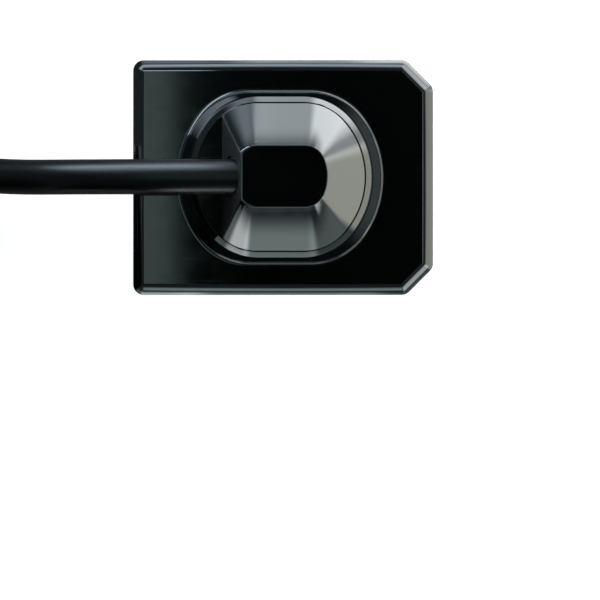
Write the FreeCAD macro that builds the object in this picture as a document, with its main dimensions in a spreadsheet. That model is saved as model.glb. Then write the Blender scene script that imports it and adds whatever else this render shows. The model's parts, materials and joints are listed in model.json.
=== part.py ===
"""Wired intraoral X-ray sensor: a flat tray of imaging layers under a back cover,
whose turned boss lets the cable out sideways, and the cable coiled beside it with
a USB plug on its end.

Frame: millimetres, +Z up, the X-ray side down on z = 0, the nose towards +X and the
cable leaving towards -X.  The origin is the middle of the tray's underside.
"""
import FreeCAD, Part
import Sketcher
import math
import os
from FreeCAD import Placement, Rotation, Vector

doc = FreeCAD.newDocument("intraoral_sensor")

# ---------------------------------------------------------------- driving dimensions
DIMENSIONS = {
    # housing, in plan and in section
    "body_length": 40.0,
    "body_width": 31.3,
    "nose_chamfer": 3.6,
    "nose_blend": 1.4,
    "tail_round": 1.4,
    "edge_round": 1.4,
    "shell_wall": 0.9,
    "shell_floor": 0.5,
    "cover_skin": 0.8,
    "part_room": 1.0,
    "parting_height": 2.6,
    "tongue_rise": 0.35,
    "tongue_gap": 0.05,
    "seam_bead": 0.15,
    # plinth of the boss: a drafted disc with a flat on either side and a rim
    "boss_offset": 0.33,
    "plinth_rise": 4.1,
    "plinth_draft": 1.55,
    "plinth_flat_draft": 0.66,
    "plinth_blend": 4.6,
    "plinth_wall": 1.6,
    "foot_bevel": 0.6,
    "lip_radius": 11.8,
    "lip_flat": 10.64,
    "lip_bevel": 0.3,
    "lip_depth": 0.3,
    "rim_width": 0.56,
    "rim_flat_width": 0.74,
    "web_thickness": 1.0,
    # cap of the boss: a steeper drafted disc, cut away where the cable comes out
    "cap_gap": 0.08,
    "cap_blend": 2.6,
    "crown_radius": 6.35,
    "crown_flat": 4.2,
    "crown_round": 0.45,
    "cut_foot": 7.76,
    "cut_crown": 5.3,
    "cap_wall_low": 2.6,
    "cap_wall_high": 1.3,
    "cap_skin": 0.6,
    "spigot_wall": 0.8,
    "spigot_depth": 0.8,
    "seal_height": 0.15,
    "seal_inset": 0.15,
    # cable entry
    "cable_radius": 2.35,
    "cable_slack": 0.02,
    "grommet_wall": 0.38,
    "grommet_recess": 0.25,
    "bore_rise": 0.1,
    "block_length": 4.6,
    "block_roof": 0.21,
    "block_side_gap": 0.6,
    "block_gap": 0.12,
    "jacket_end": 3.2,
    "braid_radius": 1.75,
    "ferrule_wall": 0.35,
    "ferrule_length": 2.5,
    "wire_radius": 0.35,
    "wire_pitch": 1.1,
    "wire_count": 4,
    "wire_bend": 1.6,
    "wire_reach": 3.1,
    # imaging stack, from the X-ray side up
    "pad_thickness": 0.2,
    "backing_thickness": 0.3,
    "scintillator_thickness": 0.2,
    "fibre_thickness": 0.7,
    "die_thickness": 0.3,
    "carrier_thickness": 0.4,
    "shield_thickness": 0.1,
    "board_thickness": 0.5,
    "tray_gap": 0.1,
    "frame_tail_wall": 0.8,
    "frame_nose_wall": 2.8,
    "frame_side_wall": 1.15,
    "frame_gap": 0.3,
    "bond_reach": 0.7,
    "bond_margin": 0.5,
    "fibre_margin": 0.3,
    "board_gap": 0.25,
    "shield_inset": 0.4,
    "bond_inset": 2.0,
    "bond_count": 13,
    "bond_wire": 0.08,
    "bond_span": 0.55,
    "bond_loop": 0.25,
    # board parts
    "nose_margin": 3.85,
    "tail_margin": 4.5,
    "side_margin": 1.0,
    "part_spacing": 2.0,
    "readout_length": 4.5,
    "readout_width": 12.6,
    "readout_height": 0.75,
    "controller_size": 7.0,
    "controller_height": 0.7,
    "regulator_length": 4.2,
    "regulator_width": 3.0,
    "regulator_height": 0.65,
    "crystal_length": 3.2,
    "crystal_width": 2.5,
    "crystal_height": 0.6,
    "chip_bevel": 0.15,
    "capacitor_length": 1.6,
    "capacitor_width": 0.8,
    "capacitor_height": 0.6,
    "capacitor_pitch": 2.2,
    "capacitor_count": 7,
    "socket_wall": 0.75,
    "socket_height": 1.5,
    "socket_floor": 0.4,
    "wire_plug_length": 2.0,
    "wire_plug_height": 2.2,
    "wire_plug_margin": 0.7,
    "wire_plug_gap": 0.05,
    # coil of the spare cable, its strap and the plug
    "coil_x": -92.3,
    "coil_y": -18.4,
    "coil_radius": 18.8,
    "coil_straight": 56.0,
    "coil_layers": 4,
    "coil_turns_across": 1.75,
    "coil_bevel": 1.2,
    "strap_thickness": 0.8,
    "strap_width": 12.0,
    "strap_offset": 22.0,
    "plug_x": -115.0,
    "boot_length": 24.0,
    "boot_start_width": 6.0,
    "boot_end_width": 7.6,
    "boot_skin": 0.15,
    "boot_slot_width": 1.3,
    "boot_slot_pitch": 4.8,
    "boot_slot_count": 4,
    "grip_length": 33.0,
    "grip_width": 16.0,
    "grip_height": 8.0,
    "grip_tail_width": 11.0,
    "grip_taper": 11.0,
    "grip_round": 2.2,
    "grip_face_width": 9.0,
    "grip_face_length": 15.0,
    "grip_face_depth": 0.4,
    "usb_width": 12.0,
    "usb_height": 4.5,
    "usb_length": 18.75,
    "usb_sheet": 0.3,
    "usb_window": 2.3,
    "usb_window_setback": 5.2,
    "usb_window_spacing": 5.4,
    "tongue_height": 1.84,
    "tongue_setback": 1.2,
    "tongue_root": 7.0,
    "contact_setback": 2.4,
    "contact_width": 1.0,
    "contact_pitch": 2.5,
    "contact_count": 4,
    "contact_length": 7.4,
    "contact_height": 0.2,
}

# The cable's free stretches, chosen by hand: out of the boss and down into the oval coil,
# then up onto the coil's top and round its far end to the plug that lies on it.
RUN_POINTS = [(-3.2, 0.0, 11.8), (-22.0, 0.0, 11.8), (-42.5, 0.0, 3.2), (-63.0, 4.5, 2.35)]
TAIL_POINTS = [(-80.0, 4.5, 16.45), (-100.0, 4.2, 21.2), (-136.7, 0.4, 21.2),
               (-147.55, -18.4, 21.8), (-136.7, -37.2, 22.8), (-115.0, -37.2, 22.8)]
BEND_SHARE = 0.45
CABLE_SIDES = 12


class Size:
    """A length known both as a number and as the spreadsheet formula that gives it."""

    def __init__(self, value, formula):
        self.value = value
        self.formula = formula

    def __add__(self, other):
        return Size(self.value + number(other), f"({self.formula} + {formula(other)})")

    def __sub__(self, other):
        return Size(self.value - number(other), f"({self.formula} - {formula(other)})")

    def __mul__(self, other):
        return Size(self.value * number(other), f"({self.formula} * {formula(other)})")

    def __truediv__(self, other):
        return Size(self.value / number(other), f"({self.formula} / {formula(other)})")

    def __neg__(self):
        return Size(-self.value, f"(-1 * {self.formula})")

    def __rsub__(self, other):
        return -self + other

    __radd__ = __add__
    __rmul__ = __mul__


def number(item):
    return item.value if isinstance(item, Size) else float(item)


def formula(item):
    return item.formula if isinstance(item, Size) else repr(item)


def make_sheet():
    sheet = doc.addObject("Spreadsheet::Sheet", "Sizes")
    for row, (name, value) in enumerate(DIMENSIONS.items(), 1):
        sheet.set(f"A{row}", name)
        sheet.set(f"B{row}", str(value))
        sheet.setAlias(f"B{row}", name)
    doc.recompute()
    return {name: Size(float(value), f"Sizes.{name}") for name, value in DIMENSIONS.items()}


D = make_sheet()
parts = {}


def bind(item, **sizes):
    """Tie properties to the sheet; a double underscore in a name stands for a dot."""
    for name, size in sizes.items():
        item.setExpression(name.replace("__", "."), formula(size))


def place(item, x=0, y=0, z=0):
    bind(item, Placement__Base__x=x, Placement__Base__y=y, Placement__Base__z=z)


def keep(label, item):
    """List an object as a sub-part under its own label."""
    item.Label = label
    parts[label] = item
    return item


# ---------------------------------------------------------------- sketches
def new_body(label):
    return keep(label, doc.addObject("PartDesign::Body", label))


def new_sketch(body, role="XY_Plane", depth=0, across=0, up=0):
    """A sketch on one of the body's own planes, moved along and across that plane."""
    plane = [item for item in body.Origin.OriginFeatures if item.Role == role][0]
    sketch = body.newObject("Sketcher::SketchObject", f"{body.Name}_sketch")
    sketch.AttachmentSupport = [(plane, "")]
    sketch.MapMode = "FlatFace"
    bind(sketch, AttachmentOffset__Base__x=across, AttachmentOffset__Base__y=up,
         AttachmentOffset__Base__z=depth)
    return sketch


def measure(sketch, kind, *args):
    """Add a dimension whose last argument is a Size, and tie it to the sheet."""
    *places, size = args
    index = sketch.addConstraint(Sketcher.Constraint(kind, *places, number(size)))
    sketch.setExpression(f"Constraints[{index}]", formula(size))


def link(sketch, kind, *places):
    sketch.addConstraint(Sketcher.Constraint(kind, *places))


def add_line(sketch, start, end):
    points = [Vector(number(p[0]), number(p[1]), 0) for p in (start, end)]
    return sketch.addGeometry(Part.LineSegment(*points), False)


def add_arc(sketch, centre, radius, first, last):
    circle = Part.Circle(Vector(centre[0], centre[1], 0), Vector(0, 0, 1), radius)
    return sketch.addGeometry(Part.ArcOfCircle(circle, first, last), False)


def draw_circle(sketch, radius, x=0, y=0):
    circle = Part.Circle(Vector(number(x), number(y), 0), Vector(0, 0, 1), number(radius))
    item = sketch.addGeometry(circle, False)
    measure(sketch, "Radius", item, radius)
    measure(sketch, "DistanceX", -1, 1, item, 3, x)
    measure(sketch, "DistanceY", -1, 1, item, 3, y)


def draw_polygon(sketch, corners):
    """Closed straight outline whose corners are dimensioned from the sketch's origin."""
    count = len(corners)
    lines = [add_line(sketch, corners[i], corners[(i + 1) % count]) for i in range(count)]
    for i, line in enumerate(lines):
        link(sketch, "Coincident", line, 2, lines[(i + 1) % count], 1)
        measure(sketch, "DistanceX", -1, 1, line, 1, corners[i][0])
        measure(sketch, "DistanceY", -1, 1, line, 1, corners[i][1])


def draw_hexagon(sketch, radius, x, y):
    turns = [math.radians(60 * i) for i in range(6)]
    draw_polygon(sketch, [(x + radius * round(math.cos(t), 6), y + radius * round(math.sin(t), 6))
                          for t in turns])


def draw_rectangle(sketch, length, width, x=0, y=0):
    left, right = x - length / 2, x + length / 2
    low, high = y - width / 2, y + width / 2
    draw_polygon(sketch, [(left, low), (right, low), (right, high), (left, high)])


def draw_outline(sketch, inset):
    """The housing's plan, inset all round: a rectangle with two chamfered nose corners."""
    half, side = D["body_length"] / 2 - inset, D["body_width"] / 2 - inset
    leg = D["nose_chamfer"] - inset * (2 - math.sqrt(2))
    draw_polygon(sketch, [(-half, -side), (half - leg, -side), (half, -side + leg),
                          (half, side - leg), (half - leg, side), (-half, side)])


def draw_clipped_circle(sketch, radius, flat, blend):
    """A circle with a flat on either side of the X axis and blended corners between."""
    r, f, b = number(radius), number(flat), number(blend)
    y = f - b
    x = math.sqrt((r - b) ** 2 - y ** 2)
    turn = math.atan2(y, x)
    half = math.pi / 2
    add_arc(sketch, (0, 0), r, -turn, turn)
    add_arc(sketch, (x, y), b, turn, half)
    add_line(sketch, (x, f), (-x, f))
    add_arc(sketch, (-x, y), b, half, math.pi - turn)
    add_arc(sketch, (0, 0), r, math.pi - turn, math.pi + turn)
    add_arc(sketch, (-x, -y), b, math.pi + turn, 3 * half)
    add_line(sketch, (-x, -f), (x, -f))
    add_arc(sketch, (x, -y), b, 3 * half, 2 * math.pi - turn)
    for item in range(8):
        link(sketch, "Tangent", item, 2, (item + 1) % 8, 1)
    for rim in (0, 4):
        link(sketch, "Coincident", rim, 3, -1, 1)
    for corner in (3, 5, 7):
        link(sketch, "Equal", 1, corner)
    for side in (2, 6):
        link(sketch, "Horizontal", side)
    link(sketch, "Equal", 0, 4)
    measure(sketch, "Radius", 0, radius)
    measure(sketch, "Radius", 1, blend)
    measure(sketch, "DistanceY", -1, 1, 2, 1, flat)
    measure(sketch, "DistanceY", 6, 1, -1, 1, flat)


def draw_cut_circle(sketch, radius, flat, chord):
    """A circle with a flat on either side and a third one square to them at -X."""
    r, f, c = number(radius), number(flat), number(chord)
    turn = math.asin(f / r)
    x = r * math.cos(turn)
    add_arc(sketch, (0, 0), r, -turn, turn)
    add_line(sketch, (x, f), (-c, f))
    add_line(sketch, (-c, f), (-c, -f))
    add_line(sketch, (-c, -f), (x, -f))
    for item in range(4):
        link(sketch, "Coincident", item, 2, (item + 1) % 4, 1)
    link(sketch, "Coincident", 0, 3, -1, 1)
    link(sketch, "Horizontal", 1)
    link(sketch, "Vertical", 2)
    link(sketch, "Horizontal", 3)
    measure(sketch, "Radius", 0, radius)
    measure(sketch, "DistanceY", -1, 1, 1, 1, flat)
    measure(sketch, "DistanceY", 3, 1, -1, 1, flat)
    measure(sketch, "DistanceX", 2, 1, -1, 1, chord)


# ---------------------------------------------------------------- features
def add_feature(body, kind, **properties):
    feature = body.newObject(f"PartDesign::{kind}", f"{body.Name}_{kind.lower()}")
    for name, value in properties.items():
        setattr(feature, name, value)
    return feature


def pad(body, sketch, length, **properties):
    feature = add_feature(body, "Pad", Profile=sketch, **properties)
    bind(feature, Length=length)
    return feature


def pocket(body, sketch, length=None, upward=False, **properties):
    """Cut along the sketch's normal: against it, or with it where upward is set."""
    feature = add_feature(body, "Pocket", Profile=sketch, Reversed=upward, **properties)
    if length is None:
        feature.Type = "ThroughAll"
    else:
        bind(feature, Length=length)
    return feature


def round_edges(body, base, test, radius, kind="Fillet"):
    """Fillet or chamfer the edges of a feature that pass a test."""
    doc.recompute()
    names = [f"Edge{i}" for i, edge in enumerate(base.Shape.Edges, 1) if test(edge)]
    if not names:
        raise ValueError(f"{body.Label}: no edge to round")
    feature = add_feature(body, kind, Base=(base, names))
    bind(feature, **{"Radius" if kind == "Fillet" else "Size": radius})
    return feature


def pattern(body, originals, axis, length, count):
    """Repeat features along one of the body's own axes."""
    doc.recompute()
    line = [item for item in body.Origin.OriginFeatures if item.Role == axis][0]
    feature = add_feature(body, "LinearPattern", Originals=originals, Direction=(line, [""]))
    bind(feature, Length=length, Occurrences=count)
    body.Tip = feature
    return feature


def is_upright(edge):
    return edge.BoundBox.ZLength > 0.01 and max(edge.BoundBox.XLength,
                                                edge.BoundBox.YLength) < 0.01


def lies_at(height):
    """A test for the edges that lie flat at one level."""
    return lambda edge: (edge.BoundBox.ZLength < 0.001
                         and abs(edge.BoundBox.ZMin - number(height)) < 0.001)


def is_tail_corner(edge):
    return is_upright(edge) and edge.BoundBox.XMax < -number(D["body_length"]) / 4


def is_nose_corner(edge):
    return is_upright(edge) and edge.BoundBox.XMin > number(D["body_length"]) / 4


# ---------------------------------------------------------------- levels, from the tray up
PAD_LEVEL = D["shell_floor"]
BACKING_LEVEL = PAD_LEVEL + D["pad_thickness"]
SCINTILLATOR_LEVEL = BACKING_LEVEL + D["backing_thickness"]
FIBRE_LEVEL = SCINTILLATOR_LEVEL + D["scintillator_thickness"]
DIE_LEVEL = FIBRE_LEVEL + D["fibre_thickness"]
CARRIER_LEVEL = DIE_LEVEL + D["die_thickness"]
SHIELD_LEVEL = CARRIER_LEVEL + D["carrier_thickness"]
BOARD_LEVEL = SHIELD_LEVEL + D["shield_thickness"]
BOARD_TOP = BOARD_LEVEL + D["board_thickness"]
CEILING = BOARD_TOP + D["part_room"]
PLATE_TOP = CEILING + D["cover_skin"]
LIP_TOP = PLATE_TOP + D["plinth_rise"]
WEB_TOP = LIP_TOP - D["lip_depth"]
WEB_BOTTOM = WEB_TOP - D["web_thickness"]
CAP_FOOT = WEB_TOP + D["seal_height"]
CABLE_HOLE = D["cable_radius"] + D["cable_slack"]
CABLE_BORE = CABLE_HOLE + D["grommet_wall"]
CABLE_AXIS = CAP_FOOT + D["bore_rise"] + CABLE_BORE
BLOCK_TOP = CABLE_AXIS + CABLE_HOLE + D["block_roof"]
CAP_CEILING = BLOCK_TOP + D["block_gap"]
CROWN_TOP = CAP_CEILING + D["cap_skin"]

# ---------------------------------------------------------------- reaches in plan
BOSS_X = -D["boss_offset"]
FOOT_RADIUS = D["lip_radius"] + D["plinth_draft"]
FOOT_FLAT = D["lip_flat"] + D["plinth_flat_draft"]
CAP_RADIUS = D["lip_radius"] - D["rim_width"]
CAP_FLAT = D["lip_flat"] - D["rim_flat_width"]
BLOCK_START = BOSS_X - D["cut_crown"] + D["cap_wall_high"] + D["block_gap"]
BLOCK_END = BLOCK_START + D["block_length"]
WIRES_X = BLOCK_END + D["wire_reach"]
WIRE_ROW = (D["wire_count"] - 1) * D["wire_pitch"]
INNER_HALF = D["body_length"] / 2 - D["shell_wall"]
INNER_SIDE = D["body_width"] / 2 - D["shell_wall"]
WINDOW_TAIL = -INNER_HALF + D["tray_gap"] + D["frame_tail_wall"]
WINDOW_NOSE = INNER_HALF - D["tray_gap"] - D["frame_nose_wall"]
WINDOW_SIDE = INNER_SIDE - D["tray_gap"] - D["frame_side_wall"]
DIE_TAIL = WINDOW_TAIL + D["bond_reach"]
DIE_NOSE = WINDOW_NOSE - D["frame_gap"]
DIE_SIDE = WINDOW_SIDE - D["frame_gap"]
BOARD_HALF = INNER_HALF - D["board_gap"]
PART_SIDE = INNER_SIDE - D["board_gap"] - D["side_margin"]
COIL_HEIGHT = D["coil_layers"] * D["cable_radius"] * 2
COIL_HALF_WIDTH = (D["coil_turns_across"] + 1) * D["cable_radius"]
COIL_INNER = D["coil_radius"] - COIL_HALF_WIDTH
COIL_OUTER = D["coil_radius"] + COIL_HALF_WIDTH
PLUG_Y = D["coil_y"] - D["coil_radius"]
PLUG_AXIS = COIL_HEIGHT + D["grip_height"] / 2
GRIP_START = D["boot_length"]
PLUG_MOUTH = GRIP_START + D["grip_length"]


# ---------------------------------------------------------------- housing
def outline_block(body, bottom, height):
    """A slab of the housing's plan with its upright corners rounded."""
    sketch = new_sketch(body, depth=bottom)
    draw_outline(sketch, 0)
    block = pad(body, sketch, height)
    block = round_edges(body, block, is_tail_corner, D["tail_round"])
    return round_edges(body, block, is_nose_corner, D["nose_blend"])


def make_front_shell():
    """The tray that faces the X-rays, with a tongue round its rim."""
    body = new_body("front_shell")
    block = outline_block(body, 0, D["parting_height"])
    round_edges(body, block, lies_at(0), D["edge_round"])
    rim = new_sketch(body, depth=D["parting_height"])
    draw_outline(rim, D["shell_wall"] / 2)
    pad(body, rim, D["tongue_rise"])
    hollow = new_sketch(body, depth=D["parting_height"] + D["tongue_rise"])
    draw_outline(hollow, D["shell_wall"])
    pocket(body, hollow, D["parting_height"] + D["tongue_rise"] - D["shell_floor"])


def make_seam_seal():
    """The bead of sealant that fills the groove above the tray's tongue."""
    body = new_body("seam_seal")
    level = D["parting_height"] + D["tongue_rise"]
    ring = new_sketch(body, depth=level)
    draw_outline(ring, D["shell_wall"] / 2)
    pad(body, ring, D["seam_bead"])
    hollow = new_sketch(body, depth=level + D["seam_bead"])
    draw_outline(hollow, D["shell_wall"])
    pocket(body, hollow, D["seam_bead"])


def boss_sketch(body, level):
    return new_sketch(body, depth=level, across=BOSS_X)


def add_drafted_disc(body, low, high, radii, flats):
    """A turned cone between two levels, with a slanted flat on either side."""
    profile = new_sketch(body, "XZ_Plane", across=BOSS_X)
    draw_polygon(profile, [(0, low), (radii[0], low), (radii[1], high), (0, high)])
    add_feature(body, "Revolution", Profile=profile,
                ReferenceAxis=(profile, ["V_Axis"])).Angle = 360
    sides = new_sketch(body, "YZ_Plane")
    far = radii[0] * 2
    for sign in (-1, 1):
        draw_polygon(sides, [(flats[0] * sign, low), (far * sign, low), (far * sign, high),
                             (flats[1] * sign, high)])
    return pocket(body, sides, far * 2, Midplane=True)


def blend_flats(body, disc, low, high, radius):
    """Round the four slanted edges between a drafted disc's cone and its flats."""
    rise = number(high - low)

    def is_flat_corner(edge):
        box = edge.BoundBox
        within = box.ZMin > number(low) - 0.01 and box.ZMax < number(high) + 0.01
        return within and box.ZLength > 0.9 * rise and box.YLength > 0.001

    return round_edges(body, disc, is_flat_corner, radius)


def cut_cable_side(body, low, high, reaches, recess=0):
    """Cut away what lies beyond a slanted wall on the cable's side of the boss."""
    side = new_sketch(body, "XZ_Plane", across=BOSS_X + recess)
    far = CAP_RADIUS * 2
    draw_polygon(side, [(-far, low), (-reaches[0], low), (-reaches[1], high), (-far, high)])
    return pocket(body, side, far, Midplane=True)


def hollow_out(body, core):
    """Take a core, built as a body of its own, out of a piece."""
    feature = add_feature(body, "Boolean", Type="Cut")
    feature.setObjects([core])


def make_back_cover():
    """The cable-side cover: a plate that carries the plinth and its rimmed web."""
    body = new_body("back_cover")
    block = outline_block(body, D["parting_height"], PLATE_TOP - D["parting_height"])
    round_edges(body, block, lies_at(PLATE_TOP), D["edge_round"])
    plinth = add_drafted_disc(body, PLATE_TOP, LIP_TOP, (FOOT_RADIUS, D["lip_radius"]),
                              (FOOT_FLAT, D["lip_flat"]))
    plinth = blend_flats(body, plinth, PLATE_TOP, LIP_TOP, D["plinth_blend"])
    reach = number(FOOT_RADIUS) + 0.01

    def is_plinth_foot(edge):
        near = all(math.hypot(v.X - number(BOSS_X), v.Y) < reach for v in edge.Vertexes)
        return near and lies_at(PLATE_TOP)(edge)

    plinth = round_edges(body, plinth, is_plinth_foot, D["foot_bevel"], "Chamfer")
    round_edges(body, plinth, lies_at(LIP_TOP), D["lip_bevel"], "Chamfer")

    recess = boss_sketch(body, LIP_TOP)
    gap = D["cap_gap"]
    draw_clipped_circle(recess, CAP_RADIUS + gap, CAP_FLAT + gap, D["cap_blend"] + gap)
    pocket(body, recess, D["lip_depth"])
    opening = boss_sketch(body, WEB_TOP)
    low = D["cap_wall_low"] - D["spigot_wall"] - gap
    draw_cut_circle(opening, CAP_RADIUS - low, CAP_FLAT - low, D["cut_foot"] - low)
    pocket(body, opening, D["web_thickness"])

    groove = new_sketch(body, depth=D["parting_height"])
    draw_outline(groove, D["shell_wall"] / 2 - D["tongue_gap"])
    pocket(body, groove, D["tongue_rise"] + D["seam_bead"], upward=True)
    hollow = new_sketch(body, depth=D["parting_height"])
    draw_outline(hollow, D["shell_wall"])
    pocket(body, hollow, CEILING - D["parting_height"], upward=True)
    core = doc.addObject("PartDesign::Body", "plinth_core")
    wall = D["plinth_wall"]
    add_drafted_disc(core, CEILING, WEB_BOTTOM, (FOOT_RADIUS - wall, D["lip_radius"] - wall),
                     (FOOT_FLAT - wall, D["lip_flat"] - wall))
    hollow_out(body, core)


# ---------------------------------------------------------------- boss cap and cable entry
def make_boss_cap():
    """The crown over the cable's end: drafted all round, cut to a wall at the cable."""
    body = new_body("boss_cap")
    cuts = (D["cut_foot"], D["cut_crown"])
    disc = add_drafted_disc(body, CAP_FOOT, CROWN_TOP, (CAP_RADIUS, D["crown_radius"]),
                            (CAP_FLAT, D["crown_flat"]))
    blend_flats(body, disc, CAP_FOOT, CROWN_TOP, D["cap_blend"])
    cap = cut_cable_side(body, CAP_FOOT, CROWN_TOP, cuts)
    foot, crown = number(D["cut_foot"]), number(D["cut_crown"])

    def is_crown_or_wall_edge(edge):
        slope = (foot - crown) / number(CROWN_TOP - CAP_FOOT)
        at_wall = all(abs(v.X - number(BOSS_X) + foot - slope * (v.Z - number(CAP_FOOT))) < 0.01
                      for v in edge.Vertexes)
        return lies_at(CROWN_TOP)(edge) or at_wall and not lies_at(CAP_FOOT)(edge)

    round_edges(body, cap, is_crown_or_wall_edge, D["crown_round"])

    core = doc.addObject("PartDesign::Body", "cap_core")
    low, high = D["cap_wall_low"], D["cap_wall_high"]
    add_drafted_disc(core, CAP_FOOT, CAP_CEILING, (CAP_RADIUS - low, D["crown_radius"] - high),
                     (CAP_FLAT - low, D["crown_flat"] - high))
    cut_cable_side(core, CAP_FOOT, CAP_CEILING, (cuts[0] - low, cuts[1] - high))
    hollow_out(body, core)
    spigot = boss_sketch(body, CAP_FOOT)
    ring = low - D["spigot_wall"]
    draw_cut_circle(spigot, CAP_RADIUS - ring, CAP_FLAT - ring, cuts[0] - ring)
    reach = D["seal_height"] + D["spigot_depth"]
    pad(body, spigot, reach, Reversed=True)
    mouth = boss_sketch(body, CAP_FOOT)
    draw_cut_circle(mouth, CAP_RADIUS - low, CAP_FLAT - low, cuts[0] - low)
    pocket(body, mouth, reach)
    bore = new_sketch(body, "YZ_Plane", depth=BLOCK_START - D["block_gap"])
    draw_circle(bore, CABLE_BORE, y=CABLE_AXIS)
    pocket(body, bore)


def make_cap_seal():
    """The flat gasket between the cap's foot and the plinth's web."""
    body = new_body("cap_seal")
    outer = boss_sketch(body, WEB_TOP)
    inset = D["seal_inset"]
    draw_clipped_circle(outer, CAP_RADIUS - inset, CAP_FLAT - inset, D["cap_blend"] - inset)
    pad(body, outer, D["seal_height"])
    edge = D["cut_foot"] - inset
    cut_cable_side(body, WEB_TOP, CAP_FOOT, (edge, edge))
    hollow = boss_sketch(body, CAP_FOOT)
    ring = D["cap_wall_low"] - D["spigot_wall"] - D["cap_gap"]
    draw_cut_circle(hollow, CAP_RADIUS - ring, CAP_FLAT - ring, D["cut_foot"] - ring)
    pocket(body, hollow, D["seal_height"])


def make_cable_grommet():
    """The rubber sleeve in the cap's bore, trimmed just inside the slanted wall."""
    body = new_body("cable_grommet")
    ring = new_sketch(body, "YZ_Plane", depth=BLOCK_START - D["block_gap"])
    draw_circle(ring, CABLE_BORE, y=CABLE_AXIS)
    draw_circle(ring, CABLE_HOLE, y=CABLE_AXIS)
    pad(body, ring, D["cut_foot"], Reversed=True)
    cut_cable_side(body, CAP_FOOT, CROWN_TOP, (D["cut_foot"], D["cut_crown"]),
                   D["grommet_recess"])


def make_strain_block():
    """The moulded block that grips the cable's end inside the cap."""
    body = new_body("strain_block")
    face = new_sketch(body, "YZ_Plane", depth=BLOCK_START)
    foot = CAP_FLAT - D["cap_wall_low"] - D["block_side_gap"]
    crown = D["crown_flat"] - D["cap_wall_high"] - D["block_side_gap"]
    low = CAP_FOOT + D["block_gap"]
    draw_polygon(face, [(-foot, low), (foot, low), (crown, BLOCK_TOP), (-crown, BLOCK_TOP)])
    pad(body, face, D["block_length"])
    jacket = new_sketch(body, "YZ_Plane", depth=-D["jacket_end"])
    draw_circle(jacket, CABLE_HOLE, y=CABLE_AXIS)
    pocket(body, jacket)
    ferrule = new_sketch(body, "YZ_Plane", depth=-D["jacket_end"] + D["ferrule_length"])
    draw_circle(ferrule, D["braid_radius"] + D["ferrule_wall"], y=CABLE_AXIS)
    pocket(body, ferrule, D["ferrule_length"])
    braid = new_sketch(body, "YZ_Plane", depth=BLOCK_END)
    draw_circle(braid, D["braid_radius"], y=CABLE_AXIS)
    pocket(body, braid, D["block_length"])


def make_cable_end():
    """The crimped ferrule and the braided core inside it."""
    body = new_body("crimp_ferrule")
    ring = new_sketch(body, "YZ_Plane", depth=-D["jacket_end"])
    draw_circle(ring, D["braid_radius"] + D["ferrule_wall"], y=CABLE_AXIS)
    draw_circle(ring, D["braid_radius"], y=CABLE_AXIS)
    pad(body, ring, D["ferrule_length"])
    body = new_body("cable_braid")
    core = new_sketch(body, "YZ_Plane", depth=-D["jacket_end"])
    draw_circle(core, D["braid_radius"], y=CABLE_AXIS)
    pad(body, core, BLOCK_END + D["jacket_end"])


def make_signal_wires():
    """The row of insulated wires that turns down from the cable's end to the board."""
    body = new_body("signal_wires")
    body.AllowCompound = True
    bend = D["wire_bend"]
    bottom = BOARD_TOP + D["socket_floor"] + D["wire_plug_height"]
    path = new_sketch(body, "XZ_Plane", depth=WIRE_ROW / 2)
    stops = [(BLOCK_END, CABLE_AXIS), (WIRES_X - bend, CABLE_AXIS),
             (WIRES_X, CABLE_AXIS - bend), (WIRES_X, bottom)]
    lines = [add_line(path, a, b) for a, b in zip(stops, stops[1:])]
    for line, (start, end) in zip(lines, zip(stops, stops[1:])):
        measure(path, "DistanceX", -1, 1, line, 1, start[0])
        measure(path, "DistanceY", -1, 1, line, 1, start[1])
        measure(path, "DistanceX", -1, 1, line, 2, end[0])
        measure(path, "DistanceY", -1, 1, line, 2, end[1])
    section = new_sketch(body, "YZ_Plane", depth=BLOCK_END)
    draw_hexagon(section, D["wire_radius"], -WIRE_ROW / 2, CABLE_AXIS)
    wire = add_feature(body, "AdditivePipe", Profile=section, Spine=(path, []),
                       Transition="Right corner")
    pattern(body, [wire], "Y_Axis", WIRE_ROW, D["wire_count"])


# ---------------------------------------------------------------- imaging stack
def make_plate(label, level, thickness, end_inset, side_inset):
    """A rectangular plate of the imaging stack, inset from the die's outline."""
    plate = keep(label, doc.addObject("Part::Box", label))
    bind(plate, Length=DIE_NOSE - DIE_TAIL - end_inset * 2, Height=thickness,
         Width=DIE_SIDE * 2 - side_inset * 2)
    place(plate, DIE_TAIL + end_inset, -DIE_SIDE + side_inset, level)


def make_layer(label, level, thickness, inset):
    """A plate of the housing's plan, inset from it all round."""
    body = new_body(label)
    sketch = new_sketch(body, depth=level)
    draw_outline(sketch, inset)
    pad(body, sketch, thickness)
    return body


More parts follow.
